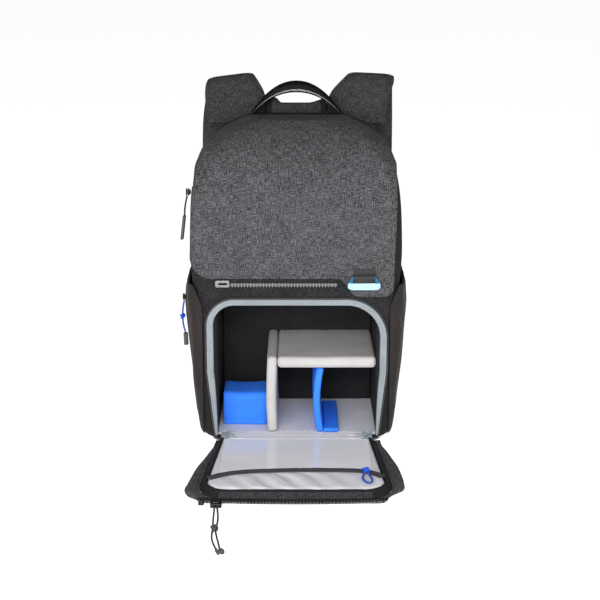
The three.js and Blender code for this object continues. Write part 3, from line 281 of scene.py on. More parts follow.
def hard(name, colour, rough, metal=0.0, **values):
    """Metal, plastic or rubber with a slightly uneven gloss."""
    paint = Paint(name, colour, rough, metal, **values)
    coords = paint.node("ShaderNodeTexCoord")
    grain = paint.node(
        "ShaderNodeTexNoise", {"Vector": coords.outputs["Object"], "Scale": 420.0, "Detail": 2.0}
    )
    paint.bump(grain.outputs[0], 0.06, 0.0003)
    return paint.material


def make_paints():
    return {
        "flap": heather("flap_heather", (0.018, 0.018, 0.0195), (0.113, 0.113, 0.12), thread=0.75, run=8),
        "band": heather("band_heather", (0.0065, 0.0065, 0.007), (0.03, 0.03, 0.032), thread=0.8, run=7),
        "strap": heather("strap_heather", (0.013, 0.013, 0.014), (0.06, 0.06, 0.064), thread=0.8, run=7),
        "door": heather("door_heather", (0.026, 0.026, 0.027), (0.126, 0.126, 0.132), thread=0.8, run=7),
        "shell": plain_cloth("shell_black", (0.012, 0.0112, 0.011), 0.6),
        "pocket": plain_cloth("pocket_brown", (0.0185, 0.014, 0.012), 0.6, rough=0.65),
        "tape": plain_cloth("tape_black", (0.013, 0.013, 0.014), 0.6, rough=0.8),
        "rim": plain_cloth("rim_grey", (0.24, 0.265, 0.285), 0.75, rough=0.9),
        "lining": plain_cloth("lining_grey", (0.7, 0.69, 0.73), 0.88, rough=0.85, bump=0.12),
        "divider": plain_cloth("divider_grey", (0.45, 0.437, 0.43), 0.88, rough=0.9, bump=0.2),
        # The insert's grey lining painted near black for its roof, sides and rear: painted shade deep in
        # the compartment.
        "dark_lining": plain_cloth("lining_painted_shade", (0.018, 0.018, 0.02), 0.6),
        "blue": plain_cloth("lining_blue", (0.035, 0.21, 0.97), 0.8, rough=0.8, bump=0.15),
        "band_zip": plain_cloth("zip_band", (0.06, 0.06, 0.065), 0.6, rough=0.7),
        "webbing": ribbed("webbing_ribs", (0.03, 0.03, 0.033)),
        "coil": ribbed("zip_coil", (0.06, 0.06, 0.065), pitch=1.3, rough=0.35),
        "braid": ribbed("braid_olive", (0.075, 0.072, 0.06), pitch=1.4, rough=0.8),
        "dark_braid": ribbed("braid_dark", (0.03, 0.03, 0.035), pitch=1.4, rough=0.75),
        "blue_braid": ribbed("braid_blue", (0.015, 0.12, 0.8), pitch=1.4, rough=0.6),
        "teeth": hard("teeth_silver", (0.2, 0.2, 0.205), 0.36, 0.9),
        "dark_teeth": hard("teeth_dark", (0.2, 0.2, 0.21), 0.35, 0.9),
        "silver": hard("end_silver", (0.17, 0.17, 0.175), 0.36, 0.9),
        "slider": hard("slider_black", (0.03, 0.03, 0.032), 0.35, 0.7),
        "bar": hard("bar_blue", (0.31, 0.46, 0.57), 0.38, 0.15, Coat_Weight=0.2),
        # A dark teal copy of the blue bar: painted shade on the hook plate's rail, slot and edges.
        "bar_dark": hard("bar_shaded_edge", (0.012, 0.1, 0.16), 0.35, 0.8),
        "gloss": hard("handle_gloss", (0.003, 0.003, 0.0035), 0.5, 0.0, Specular_IOR_Level=0.06),
        # Light grey for the handle's bead: a painted highlight on the black handle, under a real glossy
        # coat.
        "bead": hard("handle_bead_painted_highlight", (0.22, 0.22, 0.225), 0.22, 0.0, Coat_Weight=1.0, Coat_Roughness=0.1),
        "plastic": hard("buckle_plastic", (0.012, 0.012, 0.013), 0.45),
        "rubber": hard("grip_rubber", (0.035, 0.037, 0.04), 0.5),
        "thread": plain_cloth("thread_dark", (0.02, 0.02, 0.02), 0.8),
        "light_thread": plain_cloth("thread_light", (0.3, 0.3, 0.31), 0.8),
    }


# Meshes


def box_uv(point, normal):
    axis = max(range(3), key=lambda k: abs(normal[k]))
    if axis == 0:
        return point.y, point.z
    if axis == 1:
        return point.x, point.z
    return point.x, point.y


def piece(name, verts, faces, paint, slot, uvs=None, corner_uvs=None, replaces=(), sharp=None):
    """A piece of the bag. verts in millimetres. uvs: one place on the cloth for each vertex."""
    mesh = bpy.data.meshes.new(name)
    mesh.from_pydata([Vector(v) * MM for v in verts], [], faces)
    mesh.update()
    layer = mesh.uv_layers.new(name="weave")
    for number, face in enumerate(mesh.polygons):
        for k, loop in enumerate(face.loop_indices):
            vertex = mesh.loops[loop].vertex_index
            if corner_uvs:
                place = corner_uvs[number][k]
            elif uvs:
                place = uvs[vertex]
            else:
                place = box_uv(Vector(verts[vertex]), face.normal)
            layer.data[loop].uv = (place[0] * UV_MM, place[1] * UV_MM)
    mesh.shade_smooth()
    if sharp:
        mesh.set_sharp_from_angle(angle=math.radians(sharp))
    for one in paint if isinstance(paint, (list, tuple)) else [paint]:
        mesh.materials.append(one)
    made = bpy.data.objects.new(name, mesh)
    bpy.context.collection.objects.link(made)
    return dress(made, slot, replaces)


def dress(made, slot, replaces=()):
    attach(made, BODY)
    if replaces:
        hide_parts(*replaces)
    return made


def node_box(node):
    """A node's low and high corner, in millimetres."""
    low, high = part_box(node)
    return low / MM, high / MM


def catmull_value(values, place):
    """A smooth value through evenly spaced ones; place counts them from 0."""
    last = len(values) - 1
    k = min(last - 1, max(0, int(place)))
    t = place - k
    p1, p2 = values[k], values[k + 1]
    p0 = values[k - 1] if k > 0 else p1 * 2 - p2
    p3 = values[k + 2] if k + 2 <= last else p2 * 2 - p1
    return p1 + (p2 - p0) * (0.5 * t) + (p0 * 2 - p1 * 5 + p2 * 4 - p3) * (0.5 * t * t) \
        + (p1 * 3 - p0 - p2 * 3 + p3) * (0.5 * t * t * t)


def centripetal(points, share):
    """A point of the smooth curve through points, as the part's own curves run."""
    place = (len(points) - 1) * share
    k = min(len(points) - 2, int(place))
    weight = place - k
    p1, p2 = points[k], points[k + 1]
    p0 = points[k - 1] if k > 0 else p1 * 2 - p2
    p3 = points[k + 2] if k + 2 < len(points) else p2 * 2 - p1
    d1 = (p2 - p1).length ** 0.5 or 1.0
    d0 = (p1 - p0).length ** 0.5 or d1
    d2 = (p3 - p2).length ** 0.5 or d1
    t1 = ((p1 - p0) / d0 - (p2 - p0) / (d0 + d1) + (p2 - p1) / d1) * d1
    t2 = ((p2 - p1) / d1 - (p3 - p1) / (d1 + d2) + (p3 - p2) / d2) * d1
    c2 = (p2 - p1) * 3 - t1 * 2 - t2
    c3 = (p1 - p2) * 2 + t1 + t2
    return p1 + t1 * weight + c2 * weight ** 2 + c3 * weight ** 3


def smooth_path(points, count):
    points = [Vector(p) for p in points]
    return [centripetal(points, i / (count - 1)) for i in range(count)]


def resample(points, step, closed=False):
    """The same polyline with points one step apart."""
    points = [Vector(p) for p in points]
    if closed:
        points.append(points[0])
    lengths = [0.0]
    for a, b in zip(points, points[1:]):
        lengths.append(lengths[-1] + (b - a).length)
    count = max(2, round(lengths[-1] / step))
    made = []
    k = 0
    for i in range(count if closed else count + 1):
        way = lengths[-1] * i / count
        while k + 2 < len(lengths) and lengths[k + 1] < way:
            k += 1
        span = lengths[k + 1] - lengths[k]
        made.append(points[k].lerp(points[k + 1], (way - lengths[k]) / span if span else 0))
    return made


def rounded(corners, steps=5):
    """A closed outline from (x, y, radius) corners."""
    made = []
    count = len(corners)
    for i, (x, y, radius) in enumerate(corners):
        here = Vector((x, y))
        before = Vector(corners[i - 1][:2]) - here
        after = Vector(corners[(i + 1) % count][:2]) - here
        if radius <= 0:
            made.append(here)
            continue
        reach = min(radius, before.length * 0.49, after.length * 0.49)
        a = here + before.normalized() * reach
        b = here + after.normalized() * reach
        for k in range(steps + 1):
            t = k / steps
            made.append(a * (1 - t) ** 2 + here * (2 * t * (1 - t)) + b * t ** 2)
    return made


def loft(rings):
    """Faces through rings of equal length and across both ends, with each corner's place on the cloth."""
    count = len(rings[0])
    verts = [p for ring in rings for p in ring]
    faces = []
    uvs = []
    along = [0.0]
    for a, b in zip(rings, rings[1:]):
        middle_a = sum(a, Vector((0, 0, 0))) / count
        middle_b = sum(b, Vector((0, 0, 0))) / count
        along.append(along[-1] + (middle_b - middle_a).length)
    around = []
    for ring in rings:
        row = [0.0]
        for i in range(count):
            row.append(row[-1] + (ring[(i + 1) % count] - ring[i]).length)
        around.append(row)
    for r in range(len(rings) - 1):
        for i in range(count):
            j = (i + 1) % count
            faces.append((r * count + i, r * count + j, (r + 1) * count + j, (r + 1) * count + i))
            low, high = around[r], around[r + 1]
            uvs.append((
                (along[r], low[i]), (along[r], low[i + 1]),
                (along[r + 1], high[i + 1]), (along[r + 1], high[i]),
            ))
    for start, turn in ((0, True), ((len(rings) - 1) * count, False)):
        ring = list(range(start, start + count))
        if turn:
            ring.reverse()
        faces.append(tuple(ring))
        uvs.append(tuple(box_uv(Vector(verts[i]), (0, 1, 0)) for i in ring))
    return verts, faces, uvs


def turned(faces, uvs):
    """The same faces with the other side outwards."""
    return [face[::-1] for face in faces], [uv[::-1] for uv in uvs]


def thin_sheet(point, columns, steps):
    """Faces of a thin sheet. point(i, j, under): a point of its upper or its lower face."""
    rings = []
    for j in range(steps + 1):
        top = [point(i, j, False) for i in range(columns + 1)]
        low = [point(i, j, True) for i in range(columns + 1)]
        rings.append([*top, *low[::-1]])
    return loft(rings)


def frames(path, up):
    """Tangent, side and up of each point of a path. up: a vector, or one for each point."""
    made = []
    for i, point in enumerate(path):
        tangent = (path[min(i + 1, len(path) - 1)] - path[max(i - 1, 0)]).normalized()
        lift = up[i] if isinstance(up, list) else up
        side = tangent.cross(lift).normalized()
        made.append((point, tangent, side, side.cross(tangent).normalized()))
    return made


def sweep(name, path, profile, up, paint, slot, replaces=(), sharp=None, scale=None, wobble=0.0):
    """A profile of (side, up) points carried along a path. scale: share by place along the path."""
    rings = []
    for i, (point, tangent, side, lift) in enumerate(frames(path, up)):
        share = i / (len(path) - 1)
        wide, high = scale(share, tangent) if scale else (1, 1)
        ring = []
        for a, b in profile:
            p = point + side * (a * wide) + lift * (b * high)
            if wobble:
                p += lift * (noise.noise(p * 0.09) * wobble * (1 if b > 0 else 0.3))
            ring.append(p)
        rings.append(ring)
    verts, faces, uvs = loft(rings)
    made = piece(name, verts, faces, paint, slot, corner_uvs=uvs, replaces=replaces, sharp=sharp)
    return made


def arc(x, y, radius, start, turn, steps, first=0):
    """Points of an arc about (x, y), from start degrees through turn degrees."""
    made = []
    for k in range(first, steps + 1):
        angle = math.radians(start + turn * k / steps)
        made.append((x + radius * math.cos(angle), y + radius * math.sin(angle)))
    return made


def rounded_profile(left, right, low, high, radius):
    """A closed section with rounded corners, counter-clockwise."""
    steps = 3
    points = []
    corners = [
        (right - radius, low + radius, -90), (right - radius, high - radius, 0),
        (left + radius, high - radius, 90), (left + radius, low + radius, 180),
    ]
    for x, y, start in corners:
        points += arc(x, y, radius, start, 90, steps)
    return points


def circle_profile(radius, sides=8):
    return [
        (radius * math.cos(2 * math.pi * k / sides), radius * math.sin(2 * math.pi * k / sides))
        for k in range(sides)
    ]


def inward(loop, distance):
    """A dense counter-clockwise outline moved inwards."""
    made = []
    count = len(loop)
    for i in range(count):
        before = (loop[i] - loop[i - 1]).normalized()
        after = (loop[(i + 1) % count] - loop[i]).normalized()
        normal = Vector((-before.y - after.y, before.x + after.x))
        if normal.length < 1e-6:
            normal = Vector((-after.y, after.x))
        normal.normalize()
        cosine = max(0.6, normal.dot(Vector((-after.y, after.x))))
        made.append(loop[i] + normal * (distance / cosine))
    return made


def panel(name, outline, place, thick, paint, slot, edge=None, grid=3.5, marks=(), relief=None,
          replaces=(), spacing=2.0, gap=0.0):
    """A sheet or flat pad cut to an outline. place(x, y) gives its carrier's point and normal.
    edge: radius of its rounded edge. marks: distances from the edge that need their own vertices.
    relief(x, y, d): how far the face stands out there, d from the edge."""
    half = thick / 2
    edge = half if edge is None else edge
    loop = resample(outline, spacing, closed=True)
    area = sum(a.x * b.y - b.x * a.y for a, b in zip(loop, loop[1:] + loop[:1]))
    if area < 0:
        loop.reverse()
    near = KDTree(len(loop))
    for i, p in enumerate(loop):
        near.insert((p.x, p.y, 0), i)
    near.balance()
    steps = 3
    rounds = [(0.0, half - edge)] if edge < half - 1e-6 else []
    for k in range(1, steps + 1):
        angle = math.pi / 2 * k / steps
        rounds.append((edge * (1 - math.cos(angle)), half - edge + edge * math.sin(angle)))
    rounds += [(d, half) for d in marks]
    rings = [inward(loop, d) for d, _ in rounds]
    last = rings[-1]
    deepest = rounds[-1][0]
    count = len(loop)
    xs = [p.x for p in loop]
    ys = [p.y for p in loop]
    spread = list(last)
    rows = int((max(ys) - min(ys)) / grid) + 1
    columns = int((max(xs) - min(xs)) / grid) + 1
    for j in range(rows + 1):
        for i in range(columns + 1):
            p = Vector((min(xs) + i * grid, min(ys) + j * grid))
            if near.find((p.x, p.y, 0))[2] > deepest + grid * 0.6:
                spread.append(p)
    edges = [(i, (i + 1) % count) for i in range(count)]
    found = delaunay_2d_cdt(spread, edges, [], 1, 1e-5)
    inner_points, inner_faces, origins = found[0], found[2], found[3]
    ring_of = {}
    for number, origin in enumerate(origins):
        for one in origin:
            if one < count:
                ring_of.setdefault(number, one)
    verts = []
    uvs = []

    def add(p, height, d):
        base, normal = place(p.x, p.y)
        rise = relief(p.x, p.y, d) if relief and height > 0 else 0
        verts.append(base + normal * (gap + half + height + rise))
        uvs.append((p.x, p.y))
        return len(verts) - 1

    faces = []
    middle = [add(p, 0.0, 0.0) for p in loop]
    for sign in (1, -1):
        previous = middle
        for (d, height), ring in zip(rounds, rings):
            row = [add(p, sign * height, d) for p in ring]
            for i in range(count):
                j = (i + 1) % count
                quad = (previous[i], previous[j], row[j], row[i])
                faces.append(quad if sign > 0 else quad[::-1])
            previous = row
        index = {}
        for face in inner_faces:
            triangle = []
            for number in face:
                if number not in index:
                    if number in ring_of:
                        index[number] = previous[ring_of[number]]
                    else:
                        p = inner_points[number]
                        d = near.find((p.x, p.y, 0))[2]
                        index[number] = add(p, sign * half, d)
                triangle.append(index[number])
            faces.append(tuple(triangle if sign > 0 else triangle[::-1]))
    return piece(name, verts, faces, paint, slot, uvs=uvs, replaces=replaces)


def pad(name, low, high, radius, paint, slot, crown=(0, 0, 0), cell=6.0, warp=None, replaces=(),
        fill=None):
    """A rounded box whose faces swell by crown. warp(p) moves a point of it."""
    low, high = Vector(low), Vector(high)
    size = high - low
    ticks = []
    for k in range(3):
        r = min(radius, size[k] / 2 - 0.01)
        ends = [r * (1 - math.tan(math.radians(a))) for a in (45, 30, 15, 0)]
        inner = size[k] - 2 * r
        count = max(1, round(inner / cell))
        row = ends[:-1] + [r + inner * i / count for i in range(count + 1)]
        row += [size[k] - e for e in reversed(ends[:-1])]
        ticks.append(row)
    index = {}
    verts = []

    def vertex(i, j, k):
        key = (i, j, k)
        if key in index:
            return index[key]
        p = Vector((ticks[0][i], ticks[1][j], ticks[2][k]))
        core = Vector([min(max(p[a], min(radius, size[a] / 2)), size[a] - min(radius, size[a] / 2))
                       for a in range(3)])
        out = p - core
        if out.length > 1e-6:
            p = core + out.normalized() * min(radius, min(size) / 2)
        share = [(2 * p[a] / size[a] - 1) for a in range(3)]
        moved = p.copy()
        for a in range(3):
            b, c = (a + 1) % 3, (a + 2) % 3
            moved[a] += crown[a] * share[a] * (1 - share[b] ** 4) * (1 - share[c] ** 4)
        moved += low
        verts.append(warp(moved) if warp else moved)
        index[key] = len(verts) - 1
        return index[key]

    faces = []
    limits = [len(row) - 1 for row in ticks]
    for axis in range(3):
        b, c = (axis + 1) % 3, (axis + 2) % 3
        for end in (0, limits[axis]):
            for i in range(limits[b]):
                for j in range(limits[c]):
                    quad = []
                    for di, dj in ((0, 0), (1, 0), (1, 1), (0, 1)):
                        place = [0, 0, 0]
                        place[axis], place[b], place[c] = end, i + di, j + dj
                        quad.append(vertex(*place))
                    faces.append(tuple(quad if end else quad[::-1]))
    made = piece(name, verts, faces, paint, slot, replaces=replaces)
    return made


def plate(name, outline, holes, depth, bevel, matrix, paint, slot, replaces=()):
    """A flat plate with bevelled edges and holes, drawn in two dimensions and placed by a matrix."""
    curve = bpy.data.curves.new(name, "CURVE")
    curve.dimensions = "2D"
    curve.fill_mode = "BOTH"
    curve.extrude = (depth / 2 - bevel) * MM
    curve.bevel_depth = bevel * MM
    curve.bevel_resolution = 2
    curve.offset = -bevel * MM
    for loop in [outline, *holes]:
        spline = curve.splines.new("POLY")
        spline.points.add(len(loop) - 1)
        for point, p in zip(spline.points, loop):
            point.co = (p[0] * MM, p[1] * MM, 0, 1)
        spline.use_cyclic_u = True
    draft = bpy.data.objects.new(name + "_draft", curve)
    bpy.context.collection.objects.link(draft)
    graph = bpy.context.evaluated_depsgraph_get()
    mesh = bpy.data.meshes.new_from_object(draft.evaluated_get(graph))
    verts = [matrix @ (v.co / MM) for v in mesh.vertices]
    faces = [tuple(face.vertices) for face in mesh.polygons]
    bpy.data.objects.remove(draft)
    return piece(name, verts, faces, paint, slot, replaces=replaces, sharp=35)


def merged(parts):
    """One list of vertices and faces from several."""
    verts = []
    faces = []
    for more_verts, more_faces in parts:
        start = len(verts)
        verts.extend(more_verts)
        faces.extend(tuple(i + start for i in face) for face in more_faces)
    return verts, faces


def stitches(name, path, paint, slot):
    """A row of thread stitches. path: (point, normal) pairs close together."""
    pitch, length, width, rise = 3.4, 2.3, 0.6, 0.15
    points = [p for p, _ in path]
    near = KDTree(len(points))
    for i, p in enumerate(points):
        near.insert(p, i)
    near.balance()
    parts = []
    spots = resample(points, pitch)
    sections = ((-0.5, 0.35), (-0.3, 0.9), (0, 1.0), (0.3, 0.9), (0.5, 0.35))
    for a, b in zip(spots, spots[1:]):
        normal = path[near.find((a + b) / 2)[1]][1]
        along = (b - a).normalized()
        side = along.cross(normal).normalized()
        middle = (a + b) / 2
        verts = []
        for shift, swell in sections:
            drop = rise - abs(shift) * 0.5
            for angle in (0, 60, 120, 180, 240, 300):
                r = math.radians(angle)
                verts.append(middle + along * (shift * length)
                             + side * (math.cos(r) * swell * width / 2)
                             + normal * (math.sin(r) * swell * width / 2 + drop))
        faces = []
        for s in range(len(sections) - 1):
            for k in range(6):
                j = (k + 1) % 6
                faces.append((s * 6 + k, s * 6 + j, s * 6 + 6 + j, s * 6 + 6 + k))
        faces.append(tuple(range(5, -1, -1)))
        faces.append(tuple(range(24, 30)))
        parts.append((verts, faces))
    verts, faces = merged(parts)
    return piece(name, verts, faces, paint, slot)


def teeth(name, places, paint, slot):
    """Zip teeth. places: (root, forward, up, side, length, width, height) of each one."""
    parts = []
    for root, forward, up, side, length, width, height in places:
        verts = []
        for level, shrink in ((0, 0.0), (0.7, 0.0), (1.0, 0.22)):
            for along, across in ((0, -1), (0, 1), (0.62, 1), (1, 0.55), (1, -0.55), (0.62, -1)):
                reach = along * length * (1 - shrink * 0.35) + (shrink * 0.5 if along == 0 else 0)
                verts.append(root + forward * reach + up * (level * height)
                             + side * (across * width / 2 * (1 - shrink)))
        faces = [tuple(range(5, -1, -1)), tuple(range(12, 18))]
        for level in (0, 6):
            for k in range(6):
                j = (k + 1) % 6
                faces.append((level + k, level + j, level + 6 + j, level + 6 + k))
        parts.append((verts, faces))
    verts, faces = merged(parts)
    return piece(name, verts, faces, paint, slot, sharp=30)


def boolean_cut(made, cutters):
    """Cuts closed pieces out of one, and deletes them."""
    for cutter in cutters:
        step = made.modifiers.new("cut", "BOOLEAN")
        step.operation = "DIFFERENCE"
        step.solver = "EXACT"
        step.object = cutter
    graph = bpy.context.evaluated_depsgraph_get()
    mesh = bpy.data.meshes.new_from_object(made.evaluated_get(graph))
    made.modifiers.clear()
    made.data = mesh
    for cutter in cutters:
        bpy.data.objects.remove(cutter)


def solid(name, verts, faces):
    mesh = bpy.data.meshes.new(name)
    mesh.from_pydata([Vector(v) * MM for v in verts], [], faces)
    mesh.update()
    made = bpy.data.objects.new(name, mesh)
    bpy.context.collection.objects.link(made)
    return made


def extrusion(outline, front, rear):
    """A closed solid from an outline in X and Z, from the front Y to the rear Y."""
    rings = [[Vector((x, y, z)) for x, z in outline] for y in (front, rear)]
    verts, faces, _ = loft(rings)
    return verts, faces


def crease(x, y, start, end, width, depth):
    """How deep a straight fold is at a point, fading towards its ends."""
    a, b, p = Vector(start), Vector(end), Vector((x, y))
    span = b - a
    t = max(0.0, min(1.0, (p - a).dot(span) / span.length_squared))
    d = (p - a - span * t).length
    return depth * math.exp(-((d / width) ** 2)) * math.sin(math.pi * min(0.96, max(0.04, t))) ** 0.5


# The bag's own form


def bag_row(place):
    """A row of BAG_ROWS at any place between them."""
    return [catmull_value([row[k] for row in BAG_ROWS], place) for k in range(5)]


def place_at(z):
    """Where in BAG_ROWS a height lies."""
    low, high = 0.0, len(BAG_ROWS) - 1.0
    for _ in range(22):
        middle = (low + high) / 2
        if bag_row(middle)[0] * BAG_HEIGHT < z:
            low = middle
        else:
            high = middle
    return low


def bag_ring(place, grow):
    """The bag's outline in X and Y at a place in BAG_ROWS, moved outwards by grow."""
    turn_steps, front_steps, side_steps, rear_steps = 7, 36, 18, 14
    up, wide, back, turn, tilt = bag_row(place)
    half = wide * BAG_WIDTH / 2 + grow
    front = FRONT + back * BAG_DEPTH - grow
    rear = REAR + grow
    front_r = max(2, turn * CORNER + grow)
    rear_r = max(2, REAR_CORNER + grow)
    z = up * BAG_HEIGHT + grow * tilt
    corners = [
        (half - front_r, front + front_r, front_r, -90, side_steps),
        (half - rear_r, rear - rear_r, rear_r, 0, rear_steps),
        (-half + rear_r, rear - rear_r, rear_r, 90, side_steps),
        (-half + front_r, front + front_r, front_r, 180, front_steps),
    ]
    ring = []
    for number, (x, y, radius, start, steps) in enumerate(corners):
        ring += [Vector((*p, z)) for p in arc(x, y, radius, start, 90, turn_steps)]
        nx, ny, nr, nstart, _ = corners[(number + 1) % 4]
        angle = math.radians(nstart)
        target = Vector((nx + math.cos(angle) * nr, ny + math.sin(angle) * nr, z))
        base = ring[-1].copy()
        for k in range(1, steps):
            ring.append(base.lerp(target, k / steps))
    return ring


def form_rings(grow, per_row):
    last = len(BAG_ROWS) - 1
    count = last * per_row
    return [bag_ring(last * i / count, grow) for i in range(count + 1)]


def form_tree():
    verts, faces, _ = loft(form_rings(0, 5))
    return BVHTree.FromPolygons([tuple(v) for v in verts], faces)


SKIN = form_tree()
TURN = 330
TURN_RADIUS = 100


def lid_place(x, t):
    """The bag's skin seen from the front up to TURN, then over the top. t runs up and back."""
    if t < TURN:
        origin, way = Vector((x, 40, t)), Vector((0, -1, 0))
    else:
        angle = (t - TURN) / TURN_RADIUS
        origin = Vector((x, 40, TURN))
        way = Vector((0, -math.cos(angle), math.sin(angle)))
    hit = SKIN.ray_cast(origin, way)[0]
    if hit is None:
        hit = SKIN.find_nearest(origin + way * 100)[0]
    return hit


def lid_spot(x, t):
    """A point of the skin and its normal."""
    here = lid_place(x, t)
    step = 1.5
    right = lid_place(x + step, t) - lid_place(x - step, t)
    up = lid_place(x, t + step) - lid_place(x, t - step)
    normal = right.cross(up)
    return here, normal.normalized()


def side_skin(s, z, side, seam_x, rear_y):
    """A point of the bag's side from the front seam (0) round the corner to the rear seam (1)."""
    _, wide, back, turn, _ = bag_row(place_at(z))
    half = wide * BAG_WIDTH / 2
    front = FRONT + back * BAG_DEPTH
    radius = turn * CORNER
    flat = max(0, half - radius - seam_x)
    start = math.asin(min(1, max(0, (seam_x - (half - radius)) / radius)))
    arc = radius * (math.pi / 2 - start)
    way = s * (flat + arc + rear_y - (front + radius))
    if way < flat:
        x, y, nx, ny = seam_x + way, front, 0, -1
    elif way < flat + arc:
        angle = start + (way - flat) / radius
        nx, ny = math.sin(angle), -math.cos(angle)
        x = half - radius + nx * radius
        y = front + radius + ny * radius
    else:
        x, y, nx, ny = half, front + radius + way - flat - arc, 1, 0
    return Vector((side * x, y, z)), Vector((side * nx, ny, 0))


def opening_path(grow, top_grow=None, low=FLOOR_TOP, steps=14):
    """The front opening's outline in X and Z, from the bottom left up and over to the right."""
    top_grow = grow if top_grow is None else top_grow
    left = OPENING_CENTRE - OPENING_HALF - grow
    right = OPENING_CENTRE + OPENING_HALF + grow
    top = 198 + top_grow
    left_r, right_r = 36 + grow, 52 + grow
    taper, taper_top = 9.5, 100.3
    points = [(left + taper, low)]
    if low < FLOOR_TOP:
        points.append((left + taper, FLOOR_TOP))
    points += [(left, taper_top), (left, top - left_r)]
    points += arc(left + left_r, top - left_r, left_r, 180, -90, steps, 1)
    points += arc(right - right_r, top - right_r, right_r, 90, -90, steps)
    points += [(right, taper_top)]
    if low < FLOOR_TOP:
        points.append((right - taper, FLOOR_TOP))
    points.append((right - taper, low))
    return points


# Cords


def cord_curve(name, points, diameter, paint, slot, replaces=()):
    curve = bpy.data.curves.new(name, "CURVE")
    curve.dimensions = "3D"
    curve.bevel_depth = diameter / 2 * MM
    curve.bevel_resolution = 3
    curve.resolution_u = 4
    curve.use_fill_caps = True
    spline = curve.splines.new("POLY")
    spline.points.add(len(points) - 1)
    for point, p in zip(spline.points, points):
        point.co = (*(Vector(p) * MM), 1)
    curve.materials.append(paint)
    made = bpy.data.objects.new(name, curve)
    bpy.context.collection.objects.link(made)
    return dress(made, slot, replaces)


def tube_mesh(name, points, diameter, paint, slot, sides=10, replaces=()):
    """A cord as a mesh tube, its frame carried along without twist."""
    points = [Vector(p) for p in points]
    rings = []
    side = None
    for i, p in enumerate(points):
        tangent = (points[min(i + 1, len(points) - 1)] - points[max(i - 1, 0)]).normalized()
        if side is None:
            side = tangent.orthogonal().normalized()
        side = (side - tangent * side.dot(tangent)).normalized()
        other = tangent.cross(side)
        rings.append([
            p + side * (a * diameter / 2) + other * (b * diameter / 2)
            for a, b in circle_profile(1, sides)
        ])
    verts, faces, uvs = loft(rings)
    return piece(name, verts, faces, paint, slot, corner_uvs=uvs, replaces=replaces)


def path_length(points):
    return sum((Vector(b) - Vector(a)).length for a, b in zip(points, points[1:]))


def declare_cord(points, with_pieces=()):
    tuple(Vector(points[0]) * MM)
    path_length(points) * MM
    [tuple(Vector(p) * MM) for p in points]
    list(with_pieces)


def knot_mesh(name, centre, size, cord, paint, slot, replaces=(), axis="Y", phase=0.3):
    """A tied knot: a cord wound into a trefoil that fills a box of that size."""
    centre = Vector(centre)
    count = 72
    points = []
    for i in range(count + 1):
        t = 2 * math.pi * i / count + phase
        p = Vector((
            math.sin(t) + 2 * math.sin(2 * t),
            math.cos(t) - 2 * math.cos(2 * t),
            -math.sin(3 * t) * 1.1,
        ))
        points.append(p)
    reach = [max(abs(p[k]) for p in points) for k in range(3)]
    fitted = []
    order = {"Y": (0, 1, 2), "Z": (0, 2, 1)}[axis]
    for p in points:
        q = Vector((0, 0, 0))
        for k in range(3):
            q[order[k]] = p[k] / reach[k] * max(0.3, size[order[k]] / 2 - cord * 0.5)
        fitted.append(centre + q)
    return tube_mesh(name, fitted, cord, paint, slot, sides=8, replaces=replaces)


PULL_START = -302.35
PULL_REACH = 116.8
PULL_ROWS = [(0, 0), (0.16, 0.1), (0.31, 0.155), (0.56, 0.165), (0.69, 0.29), (0.84, 0.6), (1, 1)]
MIDDLE_KNOT = 0.505


def pull_x(along):
    for (a, sa), (b, sb) in zip(PULL_ROWS, PULL_ROWS[1:]):
        if along <= b:
            return -93.8 + 11.4 * (sa + (sb - sa) * (along - a) / (b - a))
    return -93.8 + 11.4


def strand(sign):
    """One strand of the doubled pull cord: slider, middle knot, end knot."""
    steps = 40
    points = []
    for i in range(steps + 1):
        along = 0.965 * i / steps
        upper = along < MIDDLE_KNOT
        t = along / MIDDLE_KNOT if upper else (along - MIDDLE_KNOT) / (0.965 - MIDDLE_KNOT)
        spread = 1.45 + (1.25 if upper else 1.6) * math.sin(math.pi * t)
        lift = 1.2
        lift += 2 * max(0, 1 - along / 0.17) ** 2
        lift += 1.6 * math.exp(-((along - MIDDLE_KNOT) / 0.05) ** 2)
        lift += 1.2 * max(0, (along - 0.88) / 0.1) ** 2
        points.append((pull_x(along) + sign * spread, PULL_START - PULL_REACH * along, lift))
    return resample(smooth_path(points, 60), 4.2)


def make_pull_cord(paints):
    knots = [
        knot_mesh("tie_middle", (pull_x(MIDDLE_KNOT), PULL_START - PULL_REACH * MIDDLE_KNOT, 3.6),
                  (9.5, 12.2, 7), 2.6, paints["braid"], "dark_cord", ("pull_knot_middle",)),
        knot_mesh("tie_end", (pull_x(1), PULL_START - PULL_REACH, 3.4),
                  (11, 8, 6.6), 2.6, paints["braid"], "dark_cord", ("pull_knot_end",), phase=1.2),
    ]
    for sign, letter, others in ((-1, "a", knots), (1, "b", ())):
        points = strand(sign)
        made = cord_curve("pull_strand_" + letter, points, 2.2, paints["braid"], "dark_cord",
                          (f"pull_cord_{letter}_upper", f"pull_cord_{letter}_lower"))
        declare_cord(points, others)


def make_pocket_loop(paints):
    low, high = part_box("door_pocket_knot")
    slider_x, knot_y, knot_z = (low + high) / 2 / MM
    loop_z = 12.6
    middle_y = knot_y - 4.3 - 0.3 - 12.6 * 0.93
    points = []
    for i in range(25):
        angle = math.pi * (0.12 + 1.76 * i / 24)
        lift = max(0, (math.cos(angle) - 0.45) / 0.48) ** 2
        points.append((
            slider_x + 2.6 * (1 - math.cos(angle)) / 2 - 5.4 * math.sin(angle),
            middle_y + 12.6 * math.cos(angle),
            loop_z + (knot_z - 0.9 - loop_z) * lift,
        ))
    tie = knot_mesh("door_pull_tie", (slider_x, knot_y, knot_z), (9.5, 8.6, 7), 2.6,
                    paints["blue_braid"], "blue_cord", ("door_pocket_knot",))
    made = cord_curve("door_pull_loop", points, 2.4, paints["blue_braid"], "blue_cord",
                      ("door_pocket_loop",))
    declare_cord(points)
    return tie


